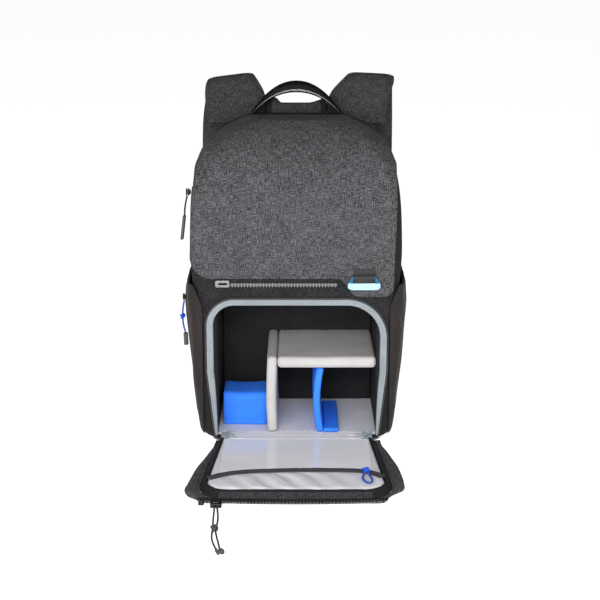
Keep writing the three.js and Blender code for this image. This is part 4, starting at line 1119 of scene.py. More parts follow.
def hanging(start, end, bow, steps=8):
    points = []
    for i in range(steps + 1):
        t = i / steps
        p = Vector(start).lerp(Vector(end), t)
        p.x += bow * math.sin(math.pi * t)
        points.append(p)
    return points


def grip_mesh(name, x, y, top, length, lean, width, half_depth, paints, replaces):
    """A moulded grip with shallow ribs, hanging and leaning outwards."""
    def warp(p):
        t = (top - p.z) / length
        rib = 1 - 0.07 * (0.5 + 0.5 * math.cos(t * 40)) if 0.15 < t < 0.9 else 1
        return Vector((x + (p.x - x) * rib - lean * t, y + (p.y - y) * rib, p.z))

    low = (x - width / 2, y - half_depth, top - length)
    high = (x + width / 2, y + half_depth, top)
    return pad(name, low, high, 1.7, paints["rubber"], "grip_rubber", cell=1.5, warp=warp,
               replaces=replaces)


def make_side_pulls(paints):
    grip = grip_mesh("zip_pull_grip", -145.6, -45, 298, 32, 4, 4.4, 4, paints, ("side_grip",))
    points = hanging((-141.6, -45, 323.6), (-145.6, -45, 297.2), -0.8, 16)
    points += [Vector((-145.9, -45, 295.6)), Vector((-146.2, -45, 293.4))]
    made = cord_curve("zip_pull_cord", points, 2.4, paints["dark_braid"], "dark_cord", ("side_cord",))
    declare_cord(points, (grip,))
    low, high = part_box("pocket_knot")
    knot_x = (low[0] + high[0]) / 2 / MM
    low_grip = grip_mesh("pocket_pull_grip", knot_x + 3.4, -40, 137, 17, -0.6, 6, 3.5, paints,
                         ("pocket_grip",))
    tie = knot_mesh("pocket_pull_tie", (knot_x, -40, 160), (8, 8, 8.2), 2.6, paints["blue_braid"],
                    "blue_cord", ("pocket_knot",), axis="Z")
    points = hanging((knot_x + 2.6, -40, 181.6), (knot_x, -40, 162), -0.5, 10)
    points += hanging((knot_x, -40, 160), (knot_x + 3.4, -40, 137.4), -1, 12)
    points = smooth_path(points, 36)
    made = cord_curve("pocket_pull_cord", points, 2.4, paints["blue_braid"], "blue_cord",
                      ("pocket_cord_upper", "pocket_cord_lower"))
    declare_cord(points, (tie, low_grip))


# Bag body


def shell_dent(p):
    """How far the shell's cloth sinks in, at most 1.6 mm, on its sides and rear."""
    side = min(1, max(0, (abs(p.x) - 112) / 14))
    height = min(1, max(0, (p.z - 15) / 30))
    soft = noise.noise(Vector((p.x * 0.02, p.y * 0.02, p.z * 0.013)))
    fold = noise.noise(Vector((p.y * 0.05 + 3, p.z * 0.016, 1.7)))
    return side * height * 0.8 * (1 + 0.6 * soft + fold * 0.8)


def dented(rings):
    made = []
    for ring in rings:
        row = []
        for p in ring:
            centre = Vector((max(-60, min(60, p.x)), max(-40, min(40, p.y)), p.z))
            row.append(p + (centre - p).normalized() * shell_dent(p))
        made.append(row)
    return made


def make_shell(paints):
    verts, faces, _ = loft(dented(form_rings(0, 4)))
    paint = [paints["shell"], paints["band"]]
    made = piece("bag_body", verts, faces, paint, "shell_cloth", replaces=("bag_shell",))
    inside = form_rings(-CLOTH, 3)
    below = [Vector((p.x, p.y, -5)) for p in inside[0]]
    inner = solid("inside", *loft([below, *dented(inside)])[:2])
    opening = solid("opening", *extrusion(opening_path(0.3, low=11.2), FRONT - 10, FRONT + 12))
    mouth_outline = rounded([(-84, -14, 20), (84, -14, 20), (84, 58, 20), (-84, 58, 20)])
    rings = [[Vector((p.x, p.y, z)) for p in mouth_outline] for z in (BAG_HEIGHT * 0.9, BAG_HEIGHT + 20)]
    mouth = solid("mouth", *loft(rings)[:2])
    boolean_cut(made, [inner, opening, mouth])
    for face in made.data.polygons:
        middle = face.center / MM
        front_band = middle.y < FRONT + 16 and -136 < middle.x < 127 and middle.z > 158
        face.material_index = 1 if front_band else 0
    made.data.set_sharp_from_angle(angle=math.radians(45))
    return made


def pocket_top(s):
    return 217 - 28 * max(0, 1 - s / 0.055) ** 1.2


def pocket_row(v):
    rows = [
        (0, 0), (0.05, 0.15), (0.16, 0.58), (0.5, 0.76), (0.75, 0.97), (0.84, 1), (0.93, 0.84), (1, 0.4),
    ]
    for (a, oa), (b, ob) in zip(rows, rows[1:]):
        if v <= b:
            return oa + (ob - oa) * (v - a) / (b - a)
    return rows[-1][1]


def pocket_folds(side, s, z):
    """Standing folds of a side pocket's cloth, in millimetres. s: round the bag. z: height."""
    u = s * 190
    folds = [
        ((6, 196), (40, 118), 5, -1.6), ((40, 200), (34, 60), 7, -1.3), ((64, 204), (70, 30), 9, 1.1),
        ((88, 206), (84, 90), 6, -1.4), ((112, 200), (120, 50), 9, 1.0), ((20, 120), (26, 30), 7, 0.9),
        ((140, 200), (146, 80), 8, -1.2),
    ] if side < 0 else [
        ((8, 192), (26, 150), 4, -1.9), ((52, 204), (28, 148), 5, -1.9), ((28, 150), (38, 40), 6, -1.4),
        ((46, 150), (54, 60), 7, 1.1), ((80, 206), (74, 60), 8, -1.2), ((104, 200), (110, 60), 8, 1.1),
        ((140, 204), (136, 90), 8, -1.2),
    ]
    total = 1.55 * sum(crease(u, z, a, b, width, depth) for a, b, width, depth in folds)
    total += 1.3 * noise.noise(Vector((u * 0.045, z * 0.018, side * 3.0)))
    return total


def make_pocket(side, paints):
    word = "left" if side < 0 else "right"
    seam_x = OPENING_CENTRE + OPENING_HALF + CLEAR + 2.6 + 0.6
    rear_y = REAR - REAR_CORNER - 1
    across_steps, up_steps = 64, 56

    def point(u, v, height):
        s = u ** 1.25
        z = 9 + (pocket_top(s) - 9) * v
        base, normal = side_skin(s, z, side, seam_x, rear_y)
        across = math.sin(math.pi * min(1, s * 0.92 + 0.04)) ** 0.7 - 0.25
        bulge = 13 * pocket_row(v) * max(0, across) * 1.33
        inner = min(1, min(u, 1 - u) * 9, v * 7)
        fold = pocket_folds(side, s, z) * inner
        lip = 0.9 * math.exp(-((1 - v) * (pocket_top(s) - 9) / 7) ** 4)
        return base + normal * (0.45 + bulge * min(1, min(u, 1 - u) * 26) + max(fold, -bulge * 0.7) + height
                                + (lip if height > 1 else 0))

    rings = []
    for j in range(up_steps + 1):
        v = j / up_steps
        outer = [point(i / across_steps, v, 2) for i in range(across_steps + 1)]
        inner = [point(i / across_steps, v, 0) for i in range(across_steps + 1)]
        ring = [*outer, outer[-1].lerp(inner[-1], 0.5), *inner[::-1], inner[0].lerp(outer[0], 0.5)]
        rings.append(ring)
    verts, faces, uvs = loft(rings)
    if side > 0:
        faces, uvs = turned(faces, uvs)
    made = piece("pocket_cloth_" + word, verts, faces, paints["pocket"], "pocket_cloth",
                 corner_uvs=uvs, replaces=("side_pocket_" + word,), sharp=60)
    seam = []
    for i in range(3, across_steps - 2):
        u = i / across_steps
        v = 0.955
        p = point(u, v, 2.05)
        q = point(u + 0.01, v, 2.05) - point(u - 0.01, v, 2.05)
        normal = q.cross(Vector((0, 0, 1))).normalized()
        if normal.x * side < 0 and abs(normal.x) > 0.3 or normal.y > 0.5:
            normal.negate()
        seam.append((p, normal))
    stitches("pocket_stitch_" + word, seam, paints["thread"], "pocket_cloth")


def make_back_panel(paints):
    half, low, shoulder, top, notch = 118, 6, 399, 427, 42
    outline = rounded([
        (-half, low, 12), (half, low, 12), (half, shoulder - 28, 14), (half - 9, shoulder, 8),
        (notch, shoulder, 1.5), (notch, top + 9, 0.8), (34, top + 4.5, 3), (20.2, top, 4),
        (-21.8, top, 2), (-27.3, top + 6.7, 2), (-notch, top + 9, 0.8), (-notch, shoulder, 1.5),
        (-half + 9, shoulder, 8), (-half, shoulder - 28, 14),
    ])

    def place(x, z):
        return Vector((x, REAR + CLEAR, z)), Vector((0, 1, 0))

    def relief(x, z, d):
        swell = 1.4 * min(1, d / 22) - 1.4
        channel = -2.2 * math.exp(-((d - 11) / 2.2) ** 2)
        middle = -1.6 * math.exp(-((x / 5) ** 2)) * min(1, max(0, (d - 14) / 10))
        wrinkle = 0.35 * noise.noise(Vector((x * 0.06, z * 0.05, 2.0)))
        return swell + channel + middle + wrinkle - 0.2

    paint = [paints["strap"], paints["shell"]]
    made = panel("back_pad", outline, place, 13.5, paint, "back_padding", edge=3, grid=4,
                 relief=relief, replaces=("back_panel",))
    # Faces above the shoulder beside the handle's feet take the black shell cloth: painted shade under the
    # handle on heather cloth.
    for face in made.data.polygons:
        middle = face.center / MM
        face.material_index = 1 if abs(middle.x) > 33 and middle.z > shoulder else 0


def lid_relief(x, t, d):
    """Soft unevenness of the flap, its hem, the bend at its shoulder and the patch over the hook."""
    rise = 0.5 * noise.noise(Vector((x * 0.013, t * 0.016, 0.4)))
    rise += 0.16 * noise.noise(Vector((x * 0.05, t * 0.05, 3.4)))
    rise += 0.55 * math.exp(-((t - 356) / 7) ** 2) * (0.7 + 0.3 * math.sin(x * 0.03))
    rise -= 0.4 * math.exp(-((t - 345) / 6) ** 2)
    rise -= 0.3 * math.exp(-((d - 7) / 1.4) ** 2)
    rise *= min(1, d / 3)
    return rise


def lid_outline():
    """The flap's cut in X and in its way up and back."""
    front, left, right, tab_left, tab_low = 225.5, -135, 125, 60, 201.5
    points = [(left + 27, front), (tab_left - 8, front)]
    start, a, b, end = ((tab_left - 8, front), (tab_left + 6, front), (tab_left + 5, tab_low),
                        (tab_left + 24, tab_low))
    for k in range(1, 13):
        t = k / 12
        points.append(tuple(
            start[i] * (1 - t) ** 3 + 3 * a[i] * t * (1 - t) ** 2 + 3 * b[i] * t * t * (1 - t)
            + end[i] * t ** 3 for i in (0, 1)))
    points += arc(right - 13, tab_low + 13, 13, -90, 90, 8)
    side_rows = [(250, 125.6), (300, 127.2), (330, 127.5), (350, 127.2)]
    points += [(x, t) for t, x in side_rows]
    rear = TURN + TURN_RADIUS * math.radians(100)
    over = [(0.2, 127.5), (0.36, 126.5), (0.5, 123), (0.62, 116), (0.75, 103), (0.88, 86), (1.0, 70)]
    span = rear - 350
    points += [(x, 350 + span * share) for share, x in over]
    points += [(-x, 350 + span * share) for share, x in reversed(over)]
    points += [(-129, 350), (-131, 330), (-133.4, 300), (-134.6, 260)]
    points += arc(left + 27, front + 27, 27, 180, 90, 10)
    return [Vector(p) for p in points]


def make_lid(paints):
    outline = lid_outline()
    made = panel("lid_cloth", outline, lid_spot, CLOTH, paints["flap"], "flap_cloth", grid=3.2,
                 marks=(5.5, 7, 8.5), relief=lid_relief, replaces=("flap",), gap=CLEAR, spacing=2.4)
    return made


def make_hook(paints):
    x0, z0, top_half, half, top = 87, 211.5, 15.5, 21.5, 229.5
    outline = rounded([
        (-top_half + 1, z0, 1.5), (top_half - 1, z0, 1.5), (half, z0 + 3, 2), (half, z0 + 8, 2.5),
        (top_half + 1, top, 2), (-top_half - 1, top, 2), (-half, z0 + 8, 2.5), (-half, z0 + 3, 2),
    ], 4)
    outline = [(p.x + x0, p.y) for p in outline]
    slot = [(x0 - 14, top - 8), (x0 + 14, top - 8), (x0 + 14, top - 3), (x0 - 14, top - 3)]
    turn = Matrix(((1, 0, 0, 0), (0, 0, -1, -101.1), (0, 1, 0, 0), (0, 0, 0, 1)))
    made = plate("hook_plate", outline, [slot], 2.8, 0.7, turn,
                 [paints["bar"], paints["bar_dark"]], "blue_aluminium", ("hook_bar",))
    # The rail, the slot's walls and the side and lower edges take the dark teal copy: painted shade on the
    # plate's edges.
    for face in made.data.polygons:
        middle = face.center / MM
        rail = middle.z > top - 8.3 or middle.z < z0 + 0.9
        edge = abs(middle.x - x0) > half - 1.6 and middle.z < top - 8.5
        face.material_index = 1 if rail or edge else 0
    return made


def make_hook_webbing(paints):
    near, face = -98.0, -104.2 + 0.7
    path = [
        Vector((87, near - 0.7, 238.5)), Vector((87, near - 0.75, 234)), Vector((87, near - 1.6, 232)),
        Vector((87, face + 0.4, 230.6)), Vector((87, face, 228.5)), Vector((87, face + 0.5, 226.2)),
        Vector((87, face + 2.6, 225.6)), Vector((87, near - 1.0, 226.4)), Vector((87, near - 0.7, 229)),
    ]
    sweep("hook_loop", smooth_path(path, 26), rounded_profile(-13.6, 13.6, -0.65, 0.65, 0.5),
          Vector((0, -1, 0.001)), paints["webbing"], "webbing", ("hook_webbing",), sharp=40)


def make_front_zip(paints):
    left, right, top = -104, 54, 225.2
    low = 214.2
    y = FRONT - CLEAR
    pad("lid_zip_tape", (left, y - 1.1, low), (right, y, top), 0.5, paints["band"], "zip_tape",
        cell=8, replaces=("front_zip",))
    places = []
    count = int((right - left - 16) / 4)
    for i in range(count):
        x = left + 18 + i * 4
        for shift, forward, root_z in ((0.0, -1, 220.4), (2.0, -1, 219.4)):
            root = Vector((x + shift, y - 1.0, root_z))
            size = 5.8 if shift == 0 else 3.6
            places.append((root, Vector((0, 0, forward)), Vector((0, -1, 0)), Vector((-1, 0, 0)),
                           size, 1.7 if shift == 0 else 1.1, 1.4 if shift == 0 else 0.8))
    teeth("lid_zip_teeth", places, paints["teeth"], "zip_metal")
    outline = rounded([(-104, 214.9, 3), (-85, 214.9, 2), (-85, 224.7, 2), (-104, 224.7, 3)], 4)
    turn = Matrix(((1, 0, 0, 0), (0, 0, -1, -99.3), (0, 1, 0, 0), (0, 0, 0, 1)))
    slot = rounded([(-99, 218.7, 1), (-88.5, 218.7, 1), (-88.5, 220.7, 1), (-99, 220.7, 1)], 3)
    plate("lid_zip_end", [(p.x, p.y) for p in outline], [[(p.x, p.y) for p in slot]], 3.6, 0.9, turn,
          paints["silver"], "zip_metal", ("front_zip_end",))


# Padded compartment


def make_rim(paints):
    path = [Vector((x, FRONT - 3.3, z)) for x, z in opening_path(0, steps=20)]
    path = resample(path, 4)
    front_depth = 12
    profile = []
    for k in range(9):
        t = k / 8
        profile.append((0.15 + 8.4 * t, 0.1 - 1.5 * (1 - math.sin(math.pi * (0.12 + 0.76 * t)) ** 0.6)
                        - (0.8 * math.exp(-((t - 0.36) / 0.09) ** 2))))
    profile += [(8.75, -3), (8.8, -7), (8.4, -front_depth + 0.4), (4, -front_depth),
                (0.4, -front_depth + 0.3), (0, -7), (0, -3)]
    profile = [(a, b) for a, b in profile]

    def scale(share, tangent):
        foot = (1 - min(1, min(share, 1 - share) / 0.15)) ** 1.5
        return (1 - 0.136 * abs(tangent.x)) * (1 - 0.66 * foot), 1

    made = sweep("rim_foam", path, profile, Vector((0, -1, 0)), paints["rim"], "rim_foam",
                 ("opening_rim",), sharp=70, scale=scale, wobble=0.7)


def make_opening_tape(paints):
    y = FRONT - CLEAR
    path = [Vector((x, y, z)) for x, z in opening_path(0.3 + 1.3, 0.3 + 1.3, steps=20)]
    path = resample(path, 5)
    sweep("opening_zip_tape", path, rounded_profile(-1.28, 1.28, 0, 0.8, 0.35), Vector((0, -1, 0)),
          paints["tape"], "zip_tape", ("opening_tape",), sharp=50)
    coil = [Vector((x, y - 0.95, z)) for x, z in opening_path(0.3 + 1.0, 0.3 + 1.0, steps=20)]
    sweep("opening_zip_coil", resample(coil, 4), [(a, b * 0.7) for a, b in circle_profile(0.7, 8)],
          Vector((0, -1, 0)), paints["coil"], "zip_tape")


def make_inserts(paints):
    low = dict(paint=paints["lining"], slot="grey_lining", fill=0.6)
    # The roof, sides and rear take the near-black lining, painted shade of the compartment's depths; the
    # floor keeps the grey lining.
    dark = dict(paint=paints["dark_lining"], slot="dark_lining", fill=0.6)
    pad("floor_pad", (-121, -86, 4), (121, 52, 12), 3, cell=8, replaces=("insert_floor",), **low)
    pad("roof_pad", (-126, -86, 189.5), (126, 52, 197.5), 3, cell=9, replaces=("insert_roof",), **dark)
    pad("side_pad_left", (-111.7, -86, FLOOR_TOP), (-103.7, 52, 189.2), 3, cell=9,
        replaces=("insert_side_left",), **dark)
    pad("side_pad_right", (105.1, -86, FLOOR_TOP), (113.1, 52, 189.2), 3, cell=9,
        replaces=("insert_side_right",), **dark)
    pad("rear_pad", (-103.4, 44, FLOOR_TOP), (104.8, 52, 189.2), 3, cell=9,
        replaces=("insert_back",), **dark)


def make_dividers(paints):
    front, rear = -87.5, 43.7

    def upright_warp(p):
        v = (p.z - FLOOR_TOP) / 105
        p.x += -1.5 * math.sin(math.pi * v) + 0.5 * noise.noise(p * 0.03)
        groove = math.exp(-((p.z - 106) / 1.6) ** 2) * 0.8
        p.x += groove * (1 if p.x < -31.5 else -1)
        return p

    pad("upright_pad", (-38, front, FLOOR_TOP), (-25, rear, 117.3), 5, paints["divider"],
        "grey_lining", crown=(0.4, 0, 0), cell=4, warp=upright_warp,
        replaces=("divider_upright",), fill=0.6)

    def shelf_warp(p):
        seam = math.exp(-((p.z - 104.6) / 0.9) ** 2) * max(0, min(1, (front + 6 - p.y) / 6))
        p.y += seam * 0.9
        p.z += 0.5 * noise.noise(Vector((p.x * 0.03, p.y * 0.03, 4))) * (1 if p.z > 109 else 0.3)
        return p

    pad("shelf_pad", (-24.7, front, 102), (104.8, rear, 117), 5.2, paints["divider"], "grey_lining",
        crown=(0, 0.5, 0.3), cell=3, warp=shelf_warp, replaces=("divider_shelf",), fill=0.6)

    def upright_blue_warp(p):
        v = (p.z - FLOOR_TOP) / 89.4
        p.x += -5 * math.sin(math.pi * v) + 0.4 * noise.noise(p * 0.04)
        return p

    pad("blue_upright_pad", (27.5, front, FLOOR_TOP), (36.5, 23.7, 101.7), 3.6, paints["blue"],
        "blue_lining", crown=(0.3, 0, 0), cell=4, warp=upright_blue_warp,
        replaces=("divider_blue_upright",), fill=0.6)
    pad("blue_upright_foot", (36.3, front, 12.35), (56.5, 23.7, 18.2), 2.4, paints["blue"], "blue_lining",
        cell=4, fill=0.6)
    left, right = -97.7, -39.8
    rings = []
    outline = rounded([
        (-58, FLOOR_TOP, 1.5), (-49, FLOOR_TOP, 1.5), (-49, 49.3, 2.5), (-11, 49.3, 2.5),
        (-11, FLOOR_TOP, 1.5), (-2, FLOOR_TOP, 1.5), (-2, 58.3, 9), (-58, 58.3, 9),
    ], 5)
    outline = resample(outline, 2.2, closed=True)
    steps = 28
    for i in range(steps + 1):
        x = left + (right - left) * i / steps
        end = min(i, steps - i)
        shrink = {0: 1.6, 1: 0.5}.get(end, 0.0)
        row = []
        for k, p in enumerate(outline):
            q = inward_point(outline, k, shrink)
            z = q.y
            y = q.x
            if y < -52:
                y -= -0.7 * math.exp(-((z - 18.5) / 0.8) ** 2) - 0.35 * math.sin((x - left) * 0.09)
                y -= 0.5 * noise.noise(Vector((x * 0.05, z * 0.05, 1)))
            if z > 52:
                z -= 1.6 * math.sin(math.pi * i / steps)
            row.append(Vector((x, y, z)))
        rings.append(row)
    verts, faces, uvs = loft(rings)
    fold = piece("blue_fold_pad", verts, faces, paints["blue"], "blue_lining", corner_uvs=uvs,
                 replaces=("divider_blue_fold",), sharp=60)


def inward_point(loop, k, distance):
    before = (loop[k] - loop[k - 1]).normalized()
    after = (loop[(k + 1) % len(loop)] - loop[k]).normalized()
    normal = Vector((-before.y - after.y, before.x + after.x)).normalized()
    return loop[k] + normal * distance


# Door


def tip_y(x):
    return DOOR_TIP + 7 * (x / WING_HALF) ** 2


def door_outline():
    rows = [
        (0, 0.81, 0.85), (0.06, 0.822, 0.86), (0.163, 0.855, 0.9), (0.303, 0.9, 0.942),
        (0.437, 0.95, 0.98), (0.712, 1.01, 1.007), (0.79, 1.025, 0.99), (0.88, 0.985, 0.87),
        (0.93, 0.91, 0.83),
    ]
    rear = FRONT + 0.03 * BAG_DEPTH
    points = [(-WING_HALF * 0.81, rear)]
    points += [(-WING_HALF * left, DOOR_BACK - DOOR_LENGTH * along) for along, left, _ in rows]
    tip = [WING_HALF * share for share in (-0.85, -0.6, -0.3, 0, 0.3, 0.6, 0.8)]
    points += [(x, tip_y(x)) for x in tip]
    points += [(WING_HALF * right, DOOR_BACK - DOOR_LENGTH * along) for along, _, right in reversed(rows)]
    points.append((WING_HALF * 0.85, rear))
    return [p.xy for p in smooth_path([(x, y, 0) for x, y in points], 180)]


def pad_outline(grow):
    steps = 10
    front = DOOR_BACK - PAD_REACH - grow
    wide, narrow, r = PAD_HALF + grow, PAD_HALF * 0.89 + grow, 26 + grow
    points = [(narrow, DOOR_BACK), (-narrow, DOOR_BACK), (-wide, front + r)]
    points += arc(-wide + r, front + r, r, 180, 90, steps, 1)
    points += arc(wide - r, front + r, r, -90, 90, steps)
    return [Vector(p) for p in points]


def floor_place(height):
    def place(x, y):
        return Vector((x, y, height)), Vector((0, 0, 1))
    return place


def pad_half_width(y):
    share = min(1, max(0, (DOOR_BACK - y) / 146))
    return PAD_HALF * (0.89 + 0.11 * share)


def wing_relief(x, y, d):
    """The wings stand a little off the floor beside the pad, and the front strip rolls up."""
    beside = abs(x) - pad_half_width(y) - 9
    rise = 0.0
    if beside > 0:
        rise += 3.4 * math.sin(math.pi * min(1, beside / 26)) * min(1, d / 5)
        rise += 0.7 * noise.noise(Vector((x * 0.06, y * 0.05, 2.2))) * min(1, d / 4)
    front = (DOOR_BACK - PAD_REACH - 8.5) - y
    if front > 0:
        rise += 1.6 * math.sin(math.pi * min(1, front / 12)) * min(1, d / 3)
    rise -= 0.35 * math.exp(-((d - 5) / 1.2) ** 2)
    return rise


def make_door_cloth(paints):
    made = panel("door_cloth", door_outline(), floor_place(0.05), 2.4, paints["door"], "flap_cloth",
                 grid=3.5, marks=(4, 5, 6), relief=wing_relief, replaces=("door_outer",), spacing=2.2)


ZIP_ROWS = [
    (-0.985, 0.73), (-0.8, 0.667), (-0.64, 0.636), (-0.3, 0.613), (0.05, 0.602), (0.4, 0.603),
    (0.74, 0.617), (0.87, 0.648), (0.985, 0.705),
]


def door_zip_path(count=60):
    points = [(wide * PAD_HALF, DOOR_BACK - along * DOOR_LENGTH, 0) for wide, along in ZIP_ROWS]
    return smooth_path(points, count)


ZIP_PATH = door_zip_path()


def zip_y_at(x):
    for a, b in zip(ZIP_PATH, ZIP_PATH[1:]):
        if a.x <= x <= b.x:
            return a.y + (b.y - a.y) * (x - a.x) / (b.x - a.x)
    return ZIP_PATH[0].y if x < 0 else ZIP_PATH[-1].y


def lining_relief(x, y, d):
    """The pad's lining: soft slanting folds in the pocket's cloth, a rounded edge elsewhere."""
    rise = 0.35 * noise.noise(Vector((x * 0.03, y * 0.03, 1.2))) - 0.35
    front = zip_y_at(x) - 6 - y
    if front > 0:
        inner = min(1, front / 6) * min(1, d / 7)
        slant = x + y * 0.55
        waves = math.sin(slant * 0.19 + 0.9 * noise.noise(Vector((x * 0.02, y * 0.03, 5))))
        strength = math.exp(-((x + 18) / 52) ** 2) + 0.25
        rise += inner * (0.5 + waves * 1.15 * strength)
    rise -= 1.1 * math.exp(-(d / 3.2) ** 2)
    return min(rise, 0.95)


def make_door_pad(paints):
    made = panel("door_lining_pad", pad_outline(0), floor_place(2.7), 8.5, paints["lining"],
                 "grey_lining", edge=3.2, grid=3.0, marks=(6,), relief=lining_relief,
                 replaces=("door_pad",), spacing=2.5)


def make_door_tape(paints):
    """The black binding round the pad: high against the pad, low at its outer edge."""
    path = [p for p in pad_outline(0.3)]
    path = [path[1], *path[2:], path[0]]
    spots = [Vector((p.x, p.y, 2.7)) for p in path]
    spots = resample(spots, 4)
    profile = [(0, 0), (9.2, 0), (9.6, 0.5), (9.0, 1.6), (6.4, 3.4), (3.4, 6.4), (1.6, 8.3), (0.2, 8.6)]

    def scale(share, _):
        near_hinge = min(share, 1 - share) * 22
        return 1, 0.55 + 0.45 * min(1, near_hinge)

    made = sweep("door_binding", spots, profile, Vector((0, 0, 1)), [paints["tape"], paints["strap"]],
                 "zip_tape", ("door_tape",), sharp=50, scale=scale, wobble=0.5)
    for face in made.data.polygons:
        middle = face.center / MM
        face.material_index = 1 if middle.y < DOOR_BACK - 175 and abs(middle.x) < 92 else 0
    line = [p for p in pad_outline(10.0)]
    line = [line[1], *line[2:], line[0]]
    line = resample([Vector((p.x, p.y, 3.1)) for p in line], 4)
    for word, part in (("left", line[: len(line) * 3 // 10]), ("right", line[-(len(line) * 3 // 10):])):
        sweep("door_side_coil_" + word, part, [(a, b * 0.8) for a, b in circle_profile(1.0, 8)],
              Vector((0, 0, 1)), paints["teeth"], "zip_metal")


def make_hinge_lining(paints):
    left, right = -98.7, 100.1
    rows = [(-109.6, 11.7), (-104, 11.8), (-99, 12.0), (-95, FLOOR_TOP), (-91.5, 12.5), (-89.5, 12.5)]
    columns, steps = 110, 20

    def point(i, j, under):
        x = left + (right - left) * i / columns
        place = j / steps * (len(rows) - 1)
        k = min(len(rows) - 2, int(place))
        y = rows[k][0] + (rows[k + 1][0] - rows[k][0]) * (place - k)
        z = rows[k][1] + (rows[k + 1][1] - rows[k][1]) * (place - k)
        ends = max(0, (abs(x) - 66) / 34)
        crumple = noise.noise(Vector((x * 0.16, y * 0.22, 3)))
        crumple += 0.6 * noise.noise(Vector((x * 0.4, y * 0.4, 8)))
        z += 0.25 + 0.2 * noise.noise(Vector((x * 0.05, y * 0.1, 1))) + ends * (2.0 + crumple * 4.4)
        return Vector((x, y, max(11.5, z) - (0.5 if under else 0) + (0 if under else 0.4)))

    verts, faces, uvs = thin_sheet(point, columns, steps)
    faces, uvs = turned(faces, uvs)
    made = piece("hinge_cloth", verts, faces, paints["hinge"], "grey_lining", corner_uvs=uvs,
                 replaces=("door_hinge_lining",), sharp=80)


def make_window(paints):
    rear = -109.9
    reach = 94
    columns, steps = 60, 24

    def point(i, j, under):
        x = (2 * i / columns - 1) * reach
        front = zip_y_at(x) + 5.5 + 1.5
        y = rear + (front - rear) * j / steps
        z = 11.55 + (0 if under else 0.35)
        z += 0.35 * (noise.noise(Vector((x * 0.025, y * 0.035, 6))) + 0.6)
        return Vector((x, y, z))

    verts, faces, uvs = thin_sheet(point, columns, steps)
    made = piece("window_sheet", verts, faces, paints["window"], "clear_sheet", corner_uvs=uvs,
                 replaces=("door_window",), sharp=60)


def make_door_zip(paints):
    path = [Vector((p.x, p.y, 11.5)) for p in door_zip_path(70)]
    sweep("pocket_zip_band", path, rounded_profile(-5.5, 5.5, 0, 1.2, 0.5), Vector((0, 0, 1)),
          paints["band_zip"], "zip_tape", ("door_pocket_zip",), sharp=50)
    coil = [p + Vector((0, 0, 1.15)) for p in path]
    sweep("pocket_zip_coil", coil, [(a, b * 0.5) for a, b in circle_profile(1.3, 8)],
          Vector((0, 0, 1)), paints["coil"], "zip_tape")


def make_tip_zip(paints):
    left, right = -116, 109.5
    low = 2.7
    path = []
    for i in range(41):
        x = left + (right - left) * i / 40
        path.append(Vector((x, tip_y(x) + 4, low)))
    sweep("tip_zip_tape", path, rounded_profile(-3, 3, 0, 1.3, 0.5), Vector((0, 0, 1)),
          paints["tape"], "zip_tape", ("door_tip_zip",), sharp=50)
    places = []
    count = int((right - left) / 4)
    for i in range(count):
        x = left + 1.5 + i * 4
        if abs(x + 94) < 6.5:
            continue
        root = Vector((x, tip_y(x) + 2.6, low + 0.2))
        slope = 14 * x / WING_HALF ** 2
        forward = Vector((0.0, -1, -0.06)).normalized()
        side = Vector((1, slope, 0)).normalized()
        places.append((root, forward, Vector((0, 0, 1)), side, 6.2, 2.1, 1.6))
    teeth("tip_zip_teeth", places, paints["dark_teeth"], "zip_metal")


def slider_body(name, low, high, paints, replaces, axis=2):
    """A zip slider: two rounded plates on a core, and a bail over the upper one."""
    low, high = Vector(low), Vector(high)
    size = high - low
    thick = size[axis] * 0.3
    parts = []
    for start in (0.0, 0.42):
        a, b = low.copy(), high.copy()
        a[axis] = low[axis] + size[axis] * start
        b[axis] = a[axis] + thick
        parts.append((a, b))
    core_a, core_b = low + size * 0.3, high - size * 0.3
    core_a[axis], core_b[axis] = low[axis] + 0.2, low[axis] + size[axis] * 0.7
    parts.append((core_a, core_b))
    bail_a, bail_b = low + size * 0.2, high - size * 0.2
    bail_a[axis], bail_b[axis] = low[axis] + size[axis] * 0.6, high[axis]
    parts.append((bail_a, bail_b))
    made = []
    for a, b in parts:
        draft = pad(name + "_draft", a, b, 1.3, paints["slider"], "slider_metal", cell=2)
        verts = [v.co / MM for v in draft.data.vertices]
        faces = [tuple(face.vertices) for face in draft.data.polygons]
        made.append((verts, faces))
        bpy.data.objects.remove(draft)
    verts, faces = merged(made)
    return piece(name, verts, faces, paints["slider"], "slider_metal", replaces=replaces)


def make_sliders(paints):
    slider_body("tip_slider", (-101, -301.6, 0.4), (-87, -288.6, 7.6), paints, ("tip_slider_large",))
    slider_body("tip_slider_spare", (-116, -294.1, 0.4), (-108, -287.1, 5.4), paints, ("tip_slider_small",))
    rows = (
        ("pocket_zip_slider", "door_pocket_slider", 2), ("side_zip_slider", "side_slider", 0),
        ("pocket_side_slider", "pocket_slider", 0),
    )
    for name, node, axis in rows:
        slider_body(name, *node_box(node), paints, (node,), axis)


# Carry handle and shoulder straps


